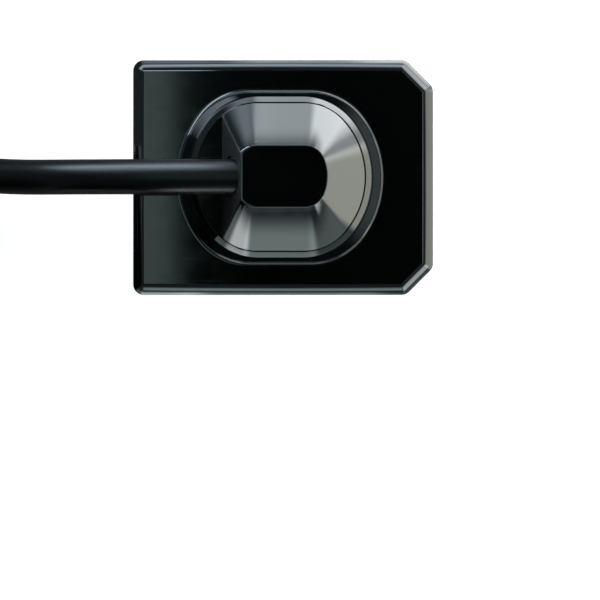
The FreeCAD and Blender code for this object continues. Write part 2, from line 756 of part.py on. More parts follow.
def make_stack():
    bond, margin = D["bond_margin"], D["fibre_margin"]
    make_plate("shock_pad", PAD_LEVEL, D["pad_thickness"], bond, margin)
    make_plate("scintillator_backing", BACKING_LEVEL, D["backing_thickness"], bond, margin)
    make_plate("scintillator", SCINTILLATOR_LEVEL, D["scintillator_thickness"],
               bond + margin, margin * 2)
    make_plate("fibre_optic_plate", FIBRE_LEVEL, D["fibre_thickness"], bond, margin)
    make_plate("cmos_die", DIE_LEVEL, D["die_thickness"], 0, 0)
    inset = D["shell_wall"] + D["board_gap"]
    make_layer("carrier_plate", CARRIER_LEVEL, D["carrier_thickness"], inset)
    make_layer("backscatter_shield", SHIELD_LEVEL, D["shield_thickness"],
               inset + D["shield_inset"])
    make_layer("circuit_board", BOARD_LEVEL, D["board_thickness"], inset)

    height = CARRIER_LEVEL - PAD_LEVEL
    frame = make_layer("spacer_frame", PAD_LEVEL, height, D["shell_wall"] + D["tray_gap"])
    window = new_sketch(frame, depth=CARRIER_LEVEL)
    draw_rectangle(window, WINDOW_NOSE - WINDOW_TAIL, WINDOW_SIDE * 2,
                   x=(WINDOW_NOSE + WINDOW_TAIL) / 2)
    pocket(frame, window, height)


def make_bond_wires():
    """Fine wires that loop from the die's edge to the carrier beside it."""
    body = new_body("bond_wires")
    body.AllowCompound = True
    half_row = DIE_SIDE - D["bond_inset"]
    arch = new_sketch(body, "XZ_Plane", depth=half_row)
    wire = D["bond_wire"]
    inner = DIE_TAIL + wire * 2
    outer = inner - D["bond_span"]
    crest = DIE_LEVEL - D["bond_loop"]
    draw_polygon(arch, [(inner, DIE_LEVEL), (inner - wire, crest), (outer + wire, crest),
                        (outer, CARRIER_LEVEL), (outer + wire, CARRIER_LEVEL),
                        (outer + wire * 2, crest + wire), (inner - wire * 2, crest + wire),
                        (inner - wire, DIE_LEVEL)])
    loop = pad(body, arch, wire, Midplane=True)
    pattern(body, [loop], "Y_Axis", half_row * 2, D["bond_count"])


# ---------------------------------------------------------------- board parts
def make_chip(label, x, y, length, width, height, level=BOARD_TOP):
    """A square-edged package with a bevelled top."""
    body = new_body(label)
    sketch = new_sketch(body, depth=level)
    draw_rectangle(sketch, length, width, x=x, y=y)
    block = pad(body, sketch, height)
    round_edges(body, block, lies_at(level + height), D["chip_bevel"], "Chamfer")


def make_board_parts():
    length = D["readout_length"]
    make_chip("readout_chip", BOARD_HALF - D["nose_margin"] - length / 2, 0, length,
              D["readout_width"], D["readout_height"])
    control = D["controller_size"]
    control_x = -BOARD_HALF + D["tail_margin"] + control / 2
    make_chip("controller_chip", control_x, PART_SIDE - control / 2, control, control,
              D["controller_height"])
    length, width = D["crystal_length"], D["crystal_width"]
    make_chip("crystal_can", control_x + control / 2 + D["part_spacing"] + length / 2,
              PART_SIDE - width / 2, length, width, D["crystal_height"])
    length, width = D["regulator_length"], D["regulator_width"]
    make_chip("regulator_chip", control_x, -PART_SIDE + width / 2, length, width,
              D["regulator_height"])

    body = new_body("capacitors")
    body.AllowCompound = True
    first = control_x + length / 2 + D["part_spacing"] + D["capacitor_width"] / 2
    sketch = new_sketch(body, depth=BOARD_TOP)
    draw_rectangle(sketch, D["capacitor_width"], D["capacitor_length"], x=first,
                   y=-PART_SIDE + D["capacitor_length"] / 2)
    block = pad(body, sketch, D["capacitor_height"])
    pattern(body, [block], "X_Axis", (D["capacitor_count"] - 1) * D["capacitor_pitch"],
            D["capacitor_count"])


def make_board_plug():
    """The socket on the board and the wires' plug in it."""
    length = D["wire_plug_length"]
    width = WIRE_ROW + D["wire_radius"] * 2 + D["wire_plug_margin"] * 2
    gap = D["wire_plug_gap"] * 2
    wall = D["socket_wall"] * 2 + gap
    body = new_body("board_socket")
    sketch = new_sketch(body, depth=BOARD_TOP)
    draw_rectangle(sketch, length + wall, width + wall, x=WIRES_X)
    pad(body, sketch, D["socket_height"])
    slot = new_sketch(body, depth=BOARD_TOP + D["socket_height"])
    draw_rectangle(slot, length + gap, width + gap, x=WIRES_X)
    pocket(body, slot, D["socket_height"] - D["socket_floor"])
    make_chip("wire_plug", WIRES_X, 0, length, width, D["wire_plug_height"],
              BOARD_TOP + D["socket_floor"])


# ---------------------------------------------------------------- cable, coil and strap
def rounded_path(points, name):
    """Straight runs joined by tangent arcs, each as large as its two runs allow."""
    corners = [Vector(*point) for point in points]
    edges, last, radii = [], corners[0], []
    for before, corner, after in zip(corners, corners[1:], corners[2:]):
        back, ahead = before - corner, after - corner
        half_turn = (math.pi - back.getAngle(ahead)) / 2
        reach = BEND_SHARE * min(back.Length, ahead.Length)
        radii.append(reach / math.tan(half_turn))
        back.normalize()
        ahead.normalize()
        start, end = corner + back * reach, corner + ahead * reach
        inward = (back + ahead).normalize()
        middle = corner + inward * (radii[-1] / math.cos(half_turn) - radii[-1])
        edges.append(Part.LineSegment(last, start).toShape())
        edges.append(Part.Arc(start, middle, end).toShape())
        last = end
    edges.append(Part.LineSegment(last, corners[-1]).toShape())
    print(name, "bend radii", [round(radius, 1) for radius in radii])
    return Part.Wire(edges)


def sweep_tube(points, name):
    """A tube along the path; its section is a polygon of many sides, which stays light."""
    path = rounded_path(points, name)
    radius, sides = D["cable_radius"].value, CABLE_SIDES
    start = Vector(*points[0])
    heading = (Vector(*points[1]) - start).normalize()
    across = heading.cross(Vector(0, 0, 1)).normalize()
    up = across.cross(heading)
    turns = [math.tau * (i + 0.5) / sides for i in range(sides + 1)]
    ring = Part.makePolygon([start + (across * math.cos(t) + up * math.sin(t)) * radius
                             for t in turns])
    tube = path.makePipeShell([ring], True, False)
    section = sides / 2 * math.sin(math.tau / sides) * radius ** 2
    expected = section * path.Length
    print(name, "length", round(path.Length, 2), "volume", round(tube.Volume, 1),
          "section times length", round(expected, 1))
    if abs(tube.Volume / expected - 1) > 0.01:
        raise ValueError(f"{name}: the tube's volume is wrong")
    return tube


def make_strap():
    """The hook-and-loop strap, wrapped once round one side of the coil."""
    body = new_body("cable_tie")
    sketch = new_sketch(body, "YZ_Plane", depth=D["strap_offset"])
    wrap = D["strap_thickness"]
    top = COIL_HEIGHT
    draw_polygon(sketch, [(COIL_INNER - wrap, 0), (COIL_OUTER + wrap, 0),
                          (COIL_OUTER + wrap, top + wrap), (COIL_INNER - wrap, top + wrap)])
    corners = [(COIL_INNER, wrap), (COIL_OUTER, wrap), (COIL_OUTER, top), (COIL_INNER, top)]
    lines = [add_line(sketch, corners[i], corners[(i + 1) % 4]) for i in range(4)]
    for i, line in enumerate(lines):
        link(sketch, "Coincident", line, 2, lines[(i + 1) % 4], 1)
        measure(sketch, "DistanceX", -1, 1, line, 1, corners[i][0])
        measure(sketch, "DistanceY", -1, 1, line, 1, corners[i][1])
    pad(body, sketch, D["strap_width"], Midplane=True)
    place(body, D["coil_x"], D["coil_y"], 0)
    return body


def make_coil(strap):
    """The outer form of the wound cable: a thick oval ring, notched for the strap."""
    ring = doc.addObject("PartDesign::Body", "coil_ring")
    for make, level, radius in ((pad, 0, COIL_OUTER), (pocket, COIL_HEIGHT, COIL_INNER)):
        sides = new_sketch(ring, depth=level)
        draw_rectangle(sides, D["coil_straight"], radius * 2)
        make(ring, sides, COIL_HEIGHT)
        ends = new_sketch(ring, depth=level)
        for side in (-1, 1):
            draw_circle(ends, radius, x=D["coil_straight"] / 2 * side)
        turn = make(ring, ends, COIL_HEIGHT)
    middle = number(D["coil_radius"])

    def is_outer_rim(edge):
        box = edge.BoundBox
        return box.ZLength < 0.01 and max(box.YMax, -box.YMin) > middle

    round_edges(ring, turn, is_outer_rim, D["coil_bevel"], "Chamfer")
    place(ring, D["coil_x"], D["coil_y"], 0)
    coil = keep("cable_coil", doc.addObject("Part::Cut", "cable_coil"))
    coil.Base = ring
    coil.Tool = strap
    doc.recompute()
    return coil


def make_cable(coil_ring):
    for label, points in (("cable_run", RUN_POINTS), ("cable_tail", TAIL_POINTS)):
        tube = sweep_tube(points, label)
        item = keep(label, doc.addObject("Part::Feature", label))
        item.Shape = tube.cut(coil_ring)


# ---------------------------------------------------------------- plug
def make_boot():
    """The tapered strain relief behind the plug, slotted from its four sides in turn."""
    body = new_body("plug_boot")
    small, large = D["boot_start_width"] / 2, D["boot_end_width"] / 2
    length = D["boot_length"]
    taper = [(0, -small), (length, -large), (length, large), (0, small)]
    plan = new_sketch(body)
    draw_polygon(plan, taper)
    pad(body, plan, large * 2, Midplane=True)
    profile = new_sketch(body, "XZ_Plane")
    for sign in (-1, 1):
        draw_polygon(profile, [(0, small * sign), (length, large * sign),
                               (length, large * 2 * sign), (0, large * 2 * sign)])
    pocket(body, profile, large * 4, Midplane=True)
    pitch, width = D["boot_slot_pitch"], D["boot_slot_width"]
    inner, outer = D["cable_radius"] + D["boot_skin"], large * 2
    slots = []
    for plane, start in (("XY_Plane", pitch / 2), ("XZ_Plane", pitch)):
        sketch = new_sketch(body, plane)
        for sign in (-1, 1):
            draw_rectangle(sketch, width, outer - inner, x=start,
                           y=(inner + outer) / 2 * sign)
        slots.append(pocket(body, sketch, large * 4, Midplane=True))
    pattern(body, slots, "X_Axis", pitch * (D["boot_slot_count"] - 1), D["boot_slot_count"])
    place(body, D["plug_x"], PLUG_Y, PLUG_AXIS)


def make_grip():
    """The moulded grip of the plug, narrowed towards the cable, with a dished face."""
    body = new_body("plug_grip")
    sketch = new_sketch(body)
    tail, wide = D["grip_tail_width"] / 2, D["grip_width"] / 2
    shoulder = GRIP_START + D["grip_taper"]
    draw_polygon(sketch, [(GRIP_START, -tail), (shoulder, -wide), (PLUG_MOUTH, -wide),
                          (PLUG_MOUTH, wide), (shoulder, wide), (GRIP_START, tail)])
    block = pad(body, sketch, D["grip_height"], Midplane=True)
    round_edges(body, block, lambda edge: not is_upright(edge)
                and edge.BoundBox.XLength > 0.01, D["grip_round"])
    half = D["grip_height"] / 2
    for level, underside in ((half, False), (-half, True)):
        face = new_sketch(body, depth=level)
        draw_rectangle(face, D["grip_face_length"], D["grip_face_width"],
                       x=shoulder + D["grip_face_length"] / 2)
        pocket(body, face, D["grip_face_depth"], upward=underside)
    place(body, D["plug_x"], PLUG_Y, PLUG_AXIS)


def make_usb():
    """The folded metal shell, its insulating tongue and the four contacts."""
    width, height, sheet = D["usb_width"], D["usb_height"], D["usb_sheet"]
    tip = PLUG_MOUTH + D["usb_length"]
    body = new_body("plug_shell")
    sketch = new_sketch(body, "YZ_Plane", depth=PLUG_MOUTH)
    draw_rectangle(sketch, width, height)
    pad(body, sketch, D["usb_length"])
    hollow = new_sketch(body, "YZ_Plane", depth=tip)
    draw_rectangle(hollow, width - sheet * 2, height - sheet * 2)
    pocket(body, hollow, D["usb_length"])
    for side in (-1, 1):
        window = new_sketch(body, depth=height)
        draw_rectangle(window, D["usb_window"], D["usb_window"],
                       x=tip - D["usb_window_setback"] - D["usb_window"] / 2,
                       y=D["usb_window_spacing"] / 2 * side)
        pocket(body, window)
    place(body, D["plug_x"], PLUG_Y, PLUG_AXIS)

    body = new_body("plug_tongue")
    floor = -height / 2 + sheet
    root = new_sketch(body, "YZ_Plane", depth=PLUG_MOUTH)
    draw_rectangle(root, width - sheet * 2, height - sheet * 2)
    pad(body, root, D["tongue_root"])
    tongue = new_sketch(body, "YZ_Plane", depth=PLUG_MOUTH)
    draw_rectangle(tongue, width - sheet * 2, D["tongue_height"],
                   y=floor + D["tongue_height"] / 2)
    pad(body, tongue, D["usb_length"] - D["tongue_setback"])
    place(body, D["plug_x"], PLUG_Y, PLUG_AXIS)

    body = new_body("plug_contacts")
    body.AllowCompound = True
    strip = new_sketch(body, depth=floor + D["tongue_height"])
    row = (D["contact_count"] - 1) * D["contact_pitch"]
    draw_rectangle(strip, D["contact_length"], D["contact_width"],
                   x=tip - D["contact_setback"] - D["contact_length"] / 2, y=-row / 2)
    block = pad(body, strip, D["contact_height"])
    pattern(body, [block], "Y_Axis", row, D["contact_count"])
    place(body, D["plug_x"], PLUG_Y, PLUG_AXIS)


# ---------------------------------------------------------------- build, check and write
make_front_shell()
make_seam_seal()
make_back_cover()
make_boss_cap()
make_cap_seal()
make_cable_grommet()
make_strain_block()
make_cable_end()
make_signal_wires()
make_stack()
make_bond_wires()
make_board_parts()
make_board_plug()
strap = make_strap()
coil = make_coil(strap)
make_cable(coil.Base.Shape)
make_boot()
make_grip()
make_usb()
doc.recompute()

for item in doc.Objects:
    if "Invalid" in item.State or "Error" in item.State:
        raise ValueError(f"{item.Label} failed: {item.State}")
for label, item in parts.items():
    if item.Shape.isNull() or not item.Shape.isValid():
        raise ValueError(f"{label} has no valid shape")

os.makedirs("parts", exist_ok=True)
for label, item in parts.items():
    item.Shape.exportStep(f"parts/{label}.step")
print(len(parts), "sub-parts written")
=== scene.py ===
# %% [markdown]
# # Dressing a wired intraoral X-ray sensor
# The sensor is a flat black tray, about as large as a postage stamp, that a dentist puts
# behind a tooth.  Its imaging layers are sealed between two moulded shells.  The cable
# leaves sideways from a boss on the back, so that it lies flat beside the teeth, and runs
# to a USB plug.  The CAD model gives every piece its size and place, and this lesson gives
# each visible one its smooth skin and its finish.

# %% Load the fixed frame
import json
import math
import bmesh
import bpy
import numpy as np
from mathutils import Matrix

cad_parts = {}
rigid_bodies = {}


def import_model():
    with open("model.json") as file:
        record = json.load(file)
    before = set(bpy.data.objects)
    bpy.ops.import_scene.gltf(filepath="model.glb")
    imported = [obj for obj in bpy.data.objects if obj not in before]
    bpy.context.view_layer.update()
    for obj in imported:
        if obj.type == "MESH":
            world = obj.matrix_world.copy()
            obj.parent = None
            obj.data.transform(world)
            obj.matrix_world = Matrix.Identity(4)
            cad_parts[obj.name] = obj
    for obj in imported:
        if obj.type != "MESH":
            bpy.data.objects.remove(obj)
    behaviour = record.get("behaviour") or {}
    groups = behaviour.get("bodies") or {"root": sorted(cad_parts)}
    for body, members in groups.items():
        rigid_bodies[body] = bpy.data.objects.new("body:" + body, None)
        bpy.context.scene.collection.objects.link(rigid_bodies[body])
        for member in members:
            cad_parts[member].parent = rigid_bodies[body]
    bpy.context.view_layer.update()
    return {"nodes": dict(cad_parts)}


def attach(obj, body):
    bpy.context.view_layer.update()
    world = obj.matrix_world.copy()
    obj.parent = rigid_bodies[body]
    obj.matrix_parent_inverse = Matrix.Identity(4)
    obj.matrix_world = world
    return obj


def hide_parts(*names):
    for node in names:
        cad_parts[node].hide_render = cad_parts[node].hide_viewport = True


for leftover in list(bpy.data.objects):  # the start-up file's cube, lamp and camera
    bpy.data.objects.remove(leftover)
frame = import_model()
MM = 0.001
scene = bpy.context.scene

# %% [markdown]
# ## Camera
# The sensor is looked at straight from above, on its cable side, with the nose to the
# right.  A long lens from a metre away keeps the sides of the boss from spreading, as a
# product photographer would do for so small a thing.

# %% Camera
PLATE_TOP = 5.0 * MM
VIEW_CENTRE = (2.26 * MM, -16.33 * MM)
VIEW_WIDTH = 79.95 * MM
VIEW_DISTANCE = 1.0


def make_camera(centre, width, distance):
    """Straight down: the frame's width at the plate sets the lens for the distance."""
    data = bpy.data.cameras.new("camera")
    data.sensor_width = 36.0
    data.lens = data.sensor_width * distance / width
    camera = bpy.data.objects.new("camera", data)
    camera.location = (centre[0], centre[1], PLATE_TOP + distance)
    scene.collection.objects.link(camera)
    scene.camera = camera
    return camera


camera = make_camera(VIEW_CENTRE, VIEW_WIDTH, VIEW_DISTANCE)
print("lens", round(camera.data.lens, 1), "mm")

# %% [markdown]
# ## Cable
# The cable is 4.7 mm thick and 1.8 m long, supple and round.  It leaves the boss level,
# comes down to the table in one easy bend, and its spare length is wound in an oval coil of
# four layers, with the plug lying on it.  One smooth spline carries it from end to end, so
# that it has no seam or kink: a handful of points for each free stretch, and sixteen to a
# turn for the coil.

# %% Route of the cable
CABLE_RADIUS = 2.35 * MM
RUN = np.array([(-3.2, 0, 11.8), (-22, 0, 11.8), (-42.5, 0, 3.2), (-63, 4.5, 2.35)]) * MM
TAIL = np.array([(-80, 4.5, 16.45), (-100, 4.2, 21.2), (-136.7, 0.4, 21.2),
                 (-147.55, -18.4, 21.8), (-136.7, -37.2, 22.8), (-115, -37.2, 22.8)]) * MM
print("points before the coil:", len(RUN), "and after it:", len(TAIL))

# %% [markdown]
# ### Turns of the coil
# Wound by hand, a cable lies in an oval: it goes out from the inner turn to the outer one,
# climbs a layer, and comes back in on top.  A helix from the menu would make round turns all
# of one size, so one formula gives the oval, the way in and out, and the climb.

# %% Turns of the coil
PITCH = 2 * CABLE_RADIUS
COIL_CENTRE = np.array([-92.3, -18.4]) * MM
COIL_RADIUS = 18.8 * MM
COIL_STRAIGHT = 56 * MM
COIL_POINT_GAP = 7 * MM  # from a straight's end to the point near it
TURNS_ACROSS = 1.75
LAYERS = 4
CLIMB_SHARE = 9  # a climb takes one part in nine of a layer
STRAP_X = -70.3 * MM
STRAP_LIFT = 0.65 * MM
STRAP_HUMP = 14 * MM


def coil_points():
    """An oval spiral that winds inwards on one layer and outwards on the next.

    One turn is two straights, with a point near each end, and two half circles of six
    points, which stand out a little because a spline cuts inside its points.  The radius
    runs to and fro between the coil's outer and inner turn by the share of the turn's
    length reached.  The height climbs one cable thickness where the direction changes, and
    a little over the strap.
    """
    half, near = COIL_STRAIGHT / 2, COIL_STRAIGHT / 2 - COIL_POINT_GAP
    angle = np.radians([90, 90, *range(105, 270, 30), 270, 270, *range(285, 450, 30)])
    shift = np.array([near, -near, *[-half] * 6, -near, near, *[half] * 6])
    stand_out = np.where(np.abs(np.cos(angle)) > 0.1, 1 / math.cos(math.radians(15)), 1)
    x, y = shift + COIL_RADIUS * np.cos(angle), COIL_RADIUS * np.sin(angle)
    step = np.hypot(np.roll(x, -1) - x, np.roll(y, -1) - y)
    share = (np.cumsum(step) - step) / step.sum()
    turns = round(LAYERS * TURNS_ACROSS)
    turn = (np.arange(turns)[:, None] + share).ravel()
    layer = turn / TURNS_ACROSS
    to_and_fro = np.abs((layer + 1) % 2 - 1)
    radius = COIL_RADIUS + (0.5 - to_and_fro) * TURNS_ACROSS * PITCH
    radius *= np.tile(stand_out, turns)
    x = COIL_CENTRE[0] + np.tile(shift, turns) + radius * np.tile(np.cos(angle), turns)
    y = COIL_CENTRE[1] + radius * np.tile(np.sin(angle), turns)
    climb = np.clip((layer[:, None] - np.arange(1, LAYERS)) * CLIMB_SHARE + 0.5, 0, 1)
    height = CABLE_RADIUS + PITCH * (climb * climb * (3 - 2 * climb)).sum(axis=1)
    height += STRAP_LIFT * np.exp(-((x - STRAP_X) / STRAP_HUMP) ** 2) * (y > COIL_CENTRE[1])
    return np.stack([x, y, height], axis=1)


route = np.vstack([RUN, coil_points(), TAIL])
print("control points in all:", len(route), "highest at", round(route[:, 2].max() / MM, 1), "mm")

# %% [markdown]
# ### Smooth line
# A real cable has no corners, and its bends run into each other.  A NURBS spline behaves in
# the same way: the points pull it and it passes by them.  Blender works out the line from a
# curve without thickness, and the tube and its finish follow it.

# %% Smooth line
def spline_line(points):
    """Points of the smooth line that the route's control points pull into shape."""
    curve = bpy.data.curves.new("route", "CURVE")
    curve.dimensions = "3D"
    curve.resolution_u = 10
    spline = curve.splines.new("NURBS")
    spline.points.add(len(points) - 1)
    spline.points.foreach_set("co", np.column_stack([points, np.ones(len(points))]).ravel())
    spline.order_u = 3
    spline.use_endpoint_u = True
    holder = bpy.data.objects.new("route", curve)
    scene.collection.objects.link(holder)
    line = bpy.data.meshes.new_from_object(holder.evaluated_get(
        bpy.context.evaluated_depsgraph_get()))
    place = np.empty(len(line.vertices) * 3)
    line.vertices.foreach_get("co", place)
    bpy.data.objects.remove(holder)
    return place.reshape(-1, 3)


line = spline_line(route)
if np.linalg.norm(line[0] - RUN[0]) > np.linalg.norm(line[-1] - RUN[0]):
    line = line[::-1]
print("points along the cable's line:", len(line))

# %% [markdown]
# ## From a grid of points to a mesh
# Every moulded skin below is a grid: one direction runs round the piece and the other runs
# over its profile.  numpy works out all the points at once, and one helper turns such a grid
# into faces.  Modelling by hand would give the same shapes, but a formula keeps the fillets
# even and the walls exact.

# %% Faces of a grid
def grid_faces(rows, columns, wrap_rows=False, wrap_columns=True):
    """Four-sided faces between neighbouring rows and columns of a numbered grid."""
    index = np.arange(rows * columns).reshape(rows, columns)
    if wrap_rows:
        index = np.vstack([index, index[:1]])
    if wrap_columns:
        index = np.hstack([index, index[:, :1]])
    corners = (index[:-1, :-1], index[:-1, 1:], index[1:, 1:], index[1:, :-1])
    return np.stack(corners, axis=-1).reshape(-1, 4)


print("a tube of 3 rings with 4 points each has", len(grid_faces(3, 4)), "faces")

# %% [markdown]
# ### From faces to a piece
# The mesh is closed where points coincide, as at a pole, and turned right side out.  Edges
# sharper than a limit stay sharp, and the rest is shaded smooth.  Values worked out with the
# points go along as attributes, because a finish can read them where no picture could be.

# %% Helpers for pieces
def make_skin(name, points, faces, sharp=30, **values):
    """Points and faces become an object, its seams closed and its faces turned outwards.

    Each further value is an attribute, one number a point, that the finish may read.
    """
    mesh = bpy.data.meshes.new(name)
    mesh.from_pydata(points.reshape(-1, 3).tolist(), [], faces.tolist())
    for title, value in values.items():
        attribute = mesh.attributes.new(title, "FLOAT", "POINT")
        attribute.data.foreach_set("value", np.ravel(value).astype(np.float32))
    work = bmesh.new()
    work.from_mesh(mesh)
    bmesh.ops.remove_doubles(work, verts=work.verts, dist=1e-7)
    bmesh.ops.dissolve_degenerate(work, dist=1e-7, edges=work.edges)
    bmesh.ops.recalc_face_normals(work, faces=work.faces)
    work.to_mesh(mesh)
    work.free()
    mesh.shade_smooth()
    mesh.set_sharp_from_angle(angle=math.radians(sharp))
    piece = bpy.data.objects.new(name, mesh)
    scene.collection.objects.link(piece)
    level = piece.modifiers.new("flat faces stay flat", "WEIGHTED_NORMAL")
    level.keep_sharp = True
    print(name, len(mesh.polygons), "faces, box",
          (np.array(mesh_box(mesh)) / MM).round(2).tolist())
    return piece


def mesh_box(mesh):
    """The lowest and the highest corner of a mesh."""
    place = np.empty(len(mesh.vertices) * 3)
    mesh.vertices.foreach_get("co", place)
    place = place.reshape(-1, 3)
    return place.min(axis=0), place.max(axis=0)


SHARP_RADIUS = 0.4 * MM  # a rounding as small as this counts as a full edge


def edge_share(grid):
    """How rounded each point's profile is, from 0 on a flat to 1 at a sharp edge.

    It is the change of the profile's direction from one row to the next, divided by the
    distance between the rows.
    """
    step = np.diff(grid, axis=0, append=grid[:1])
    length = np.maximum(np.linalg.norm(step, axis=-1, keepdims=True), 1e-6)
    ahead, span = step / length, length[..., 0]
    turn = np.linalg.norm(ahead - np.roll(ahead, 1, axis=0), axis=-1)
    return np.clip(turn / (span + np.roll(span, 1, axis=0)) * (2 * SHARP_RADIUS), 0, 1)


def dress(piece, slot, *nodes):
    """The piece rides on the sensor and stands for its CAD nodes, which are hidden."""
    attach(piece, "root")
    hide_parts(*nodes)


print("an edge is full at a radius of", SHARP_RADIUS / MM, "mm")

# %% [markdown]
# ## Jacket of the cable
# A round section is carried along the line.  The cable never stands upright, so a level
# sideways direction and the one square to it and to the line turn the section smoothly.
# Each point keeps its place in the section and its distance along the cable, which the
# jacket's finish needs.

# %% Jacket of the cable
def cable_tube(line, sides=28):
    """Rings round the line: the centre, plus radius times cosine across and sine upwards."""
    ahead = np.gradient(line, axis=0)
    ahead /= np.linalg.norm(ahead, axis=1, keepdims=True)
    across = np.cross(ahead, (0.0, 0.0, 1.0))
    across /= np.linalg.norm(across, axis=1, keepdims=True)
    up = np.cross(across, ahead)
    angle = np.linspace(0, 2 * math.pi, sides, endpoint=False)
    c, s = CABLE_RADIUS * np.cos(angle), CABLE_RADIUS * np.sin(angle)
    rings = line[:, None] + across[:, None] * c[:, None] + up[:, None] * s[:, None]
    ends = [np.tile(line[k], (1, sides, 1)) for k in (0, -1)]
    gone = np.cumsum(np.linalg.norm(np.diff(line, axis=0, prepend=line[:1]), axis=1))
    shape = (len(line) + 2, sides)
    values = [np.broadcast_to(v, shape) for v in (c, s, gone[[0, *range(len(gone)), -1], None])]
    return np.concatenate([ends[0], rings, ends[1]]), values


grid, (across, upward, gone) = cable_tube(line)
cable = make_skin("cable", grid, grid_faces(*grid.shape[:2]), 60,
                  across=across, upward=upward, along=gone)
dress(cable, "cable_jacket", "cable_run", "cable_coil", "cable_tail")
print("cable", round(float(gone.max()), 3), "m long")

# %% [markdown]
# ## Plan of the housing
# Seen from above, the housing is a rectangle with two small round corners at its tail and
# two 45-degree chamfers at its nose, for the patient's comfort.  All its edges share one
# radius, so the whole plan is a small polygon of arc centres with a constant distance round
# it.  Making that distance smaller gives every inner outline.

# %% Plan of the housing
HALF_LENGTH = 20 * MM
HALF_WIDTH = 15.65 * MM
NOSE_CHAMFER = 3.6 * MM
EDGE = 1.4 * MM
BOSS_X = -0.33 * MM


def housing_columns(arc_step, side_step):
    """Arc centre and outward direction of every column round the plan.

    The sides are lines with a known direction and distance from the middle.  Moved inwards
    by the edge radius, neighbouring lines cross in the arc centres.  On an arc the direction
    turns from one side's to the next; along a side the centre moves to the next centre.
    """
    turn = np.radians([-90, -45, 0, 45, 90, 180])
    corner = (HALF_LENGTH + HALF_WIDTH - NOSE_CHAMFER) / math.sqrt(2)
    reach = np.array([HALF_WIDTH, corner, HALF_LENGTH, corner, HALF_WIDTH, HALF_LENGTH])
    normal = np.stack([np.cos(turn), np.sin(turn)], axis=1)
    pairs = np.stack([normal, np.roll(normal, -1, axis=0)], axis=1)
    sides = np.stack([reach, np.roll(reach, -1)], axis=1) - EDGE
    centre = np.linalg.solve(pairs, sides[..., None])[..., 0]
    base, outward = [], []
    for i in range(6):
        arc = (turn[(i + 1) % 6] - turn[i]) % (2 * math.pi)
        angle = turn[i] + np.linspace(0, arc, round(arc / arc_step) + 1)
        base.append(np.repeat(centre[i:i + 1], len(angle), axis=0))
        outward.append(np.stack([np.cos(angle), np.sin(angle)], axis=1))
        step = centre[(i + 1) % 6] - centre[i]
        along = np.linspace(0, 1, round(np.hypot(*step) / side_step) + 1)[1:-1, None]
        base.append(centre[i] + along * step)
        outward.append(np.repeat(outward[-1][-1:], len(along), axis=0))
    return np.vstack(base), np.vstack(outward)


base, outward = housing_columns(arc_step=math.radians(7.5), side_step=0.3 * MM)
from_boss = base + outward * EDGE - (BOSS_X, 0)
ray = np.arctan2(from_boss[:, 1], from_boss[:, 0])


def plan_row(inset, height):
    """The outline moved inwards by an inset: centre plus what is left of the radius."""
    plan = base + outward * (EDGE - inset)
    return np.column_stack([plan, np.full(len(plan), height)])


print(len(base), "columns round the housing")

# %% [markdown]
# ## Form of the boss
# The boss began as a turned cone.  Two slanted flats narrow it across the housing, and soft
# blends join flat and cone.  A distance from the boss's axis describes each level of it: the
# circle's radius, the flat's distance divided by the cosine of the angle from its normal, or
# the blend's arc between them.  A second formula gives radius and flat at each height, with
# a hollow fillet at the foot and a rounding at the top.

# %% Formulas of the boss
def level_reach(angle, radius, flat, blend):
    """Distance from the axis to a circle with two flats and blended corners.

    The angle is folded to the nearest flat's normal.  The blend's circle touches the flat
    and the big circle from inside, and a ray meets it at c.d + sqrt(b^2 - (c x d)^2).
    """
    off = np.arctan2(np.abs(np.cos(angle)), np.abs(np.sin(angle)))
    across = np.sqrt((radius - blend) ** 2 - (flat - blend) ** 2)
    ahead = flat - blend
    direct = ahead * np.cos(off) + across * np.sin(off)
    aside = ahead * np.sin(off) - across * np.cos(off)
    arc = direct + np.sqrt(np.clip(blend ** 2 - aside ** 2, 0, None))
    on_flat = off < np.arctan2(across, flat)
    on_circle = off > np.arctan2(across, ahead)
    straight = flat / np.cos(np.minimum(off, 1.4))  # no flat is in use as far round as this
    return np.where(on_flat, straight, np.where(on_circle, radius, arc))


def drafted(height, low, high, foot, top, hollow=0.0, rounding=0.0):
    """Reach of a slanted side at a height, with a fillet below and a rounding above.

    The side is a straight line from foot to top.  Each fillet is a circle that touches the
    line and the level plane at its end, and takes over beyond the touching point.
    """
    slope = (foot - top) / (high - low)
    slant = math.hypot(1, slope)
    line = foot - slope * (height - low)
    fillet = (foot - slope * hollow + hollow * slant
              - np.sqrt(np.clip(hollow ** 2 - (low + hollow - height) ** 2, 0, None)))
    line = np.where(height < low + hollow * (1 - slope / slant), fillet, line)
    centre = high - rounding
    edge = (foot - slope * (centre - low) - rounding * slant
            + np.sqrt(np.clip(rounding ** 2 - (height - centre) ** 2, 0, None)))
    return np.where(height > centre + rounding * slope / slant, edge, line)


def ring(angle, reach, height):
    """A level ring about the boss's axis."""
    return np.column_stack([BOSS_X + reach * np.cos(angle), reach * np.sin(angle),
                            np.broadcast_to(height, np.shape(reach))])


print("a circle of 9 with flats at 7 reaches", level_reach(
    np.radians([0, 45, 90]), 9, 7, 3).round(2).tolist(), "at 0, 45 and 90 degrees")

# %% [markdown]
# ## Cover
# The cover is the cable-side shell, one glossy moulding: a plate with rounded edges, and the
# plinth that rises from it in a soft fillet to a rimmed ledge for the cap.  Its profile is a
# closed loop, outside over the plinth and back through the hollow inside, carried round
# the housing.  Outer rows follow the plan, and the plinth's rows follow the boss.

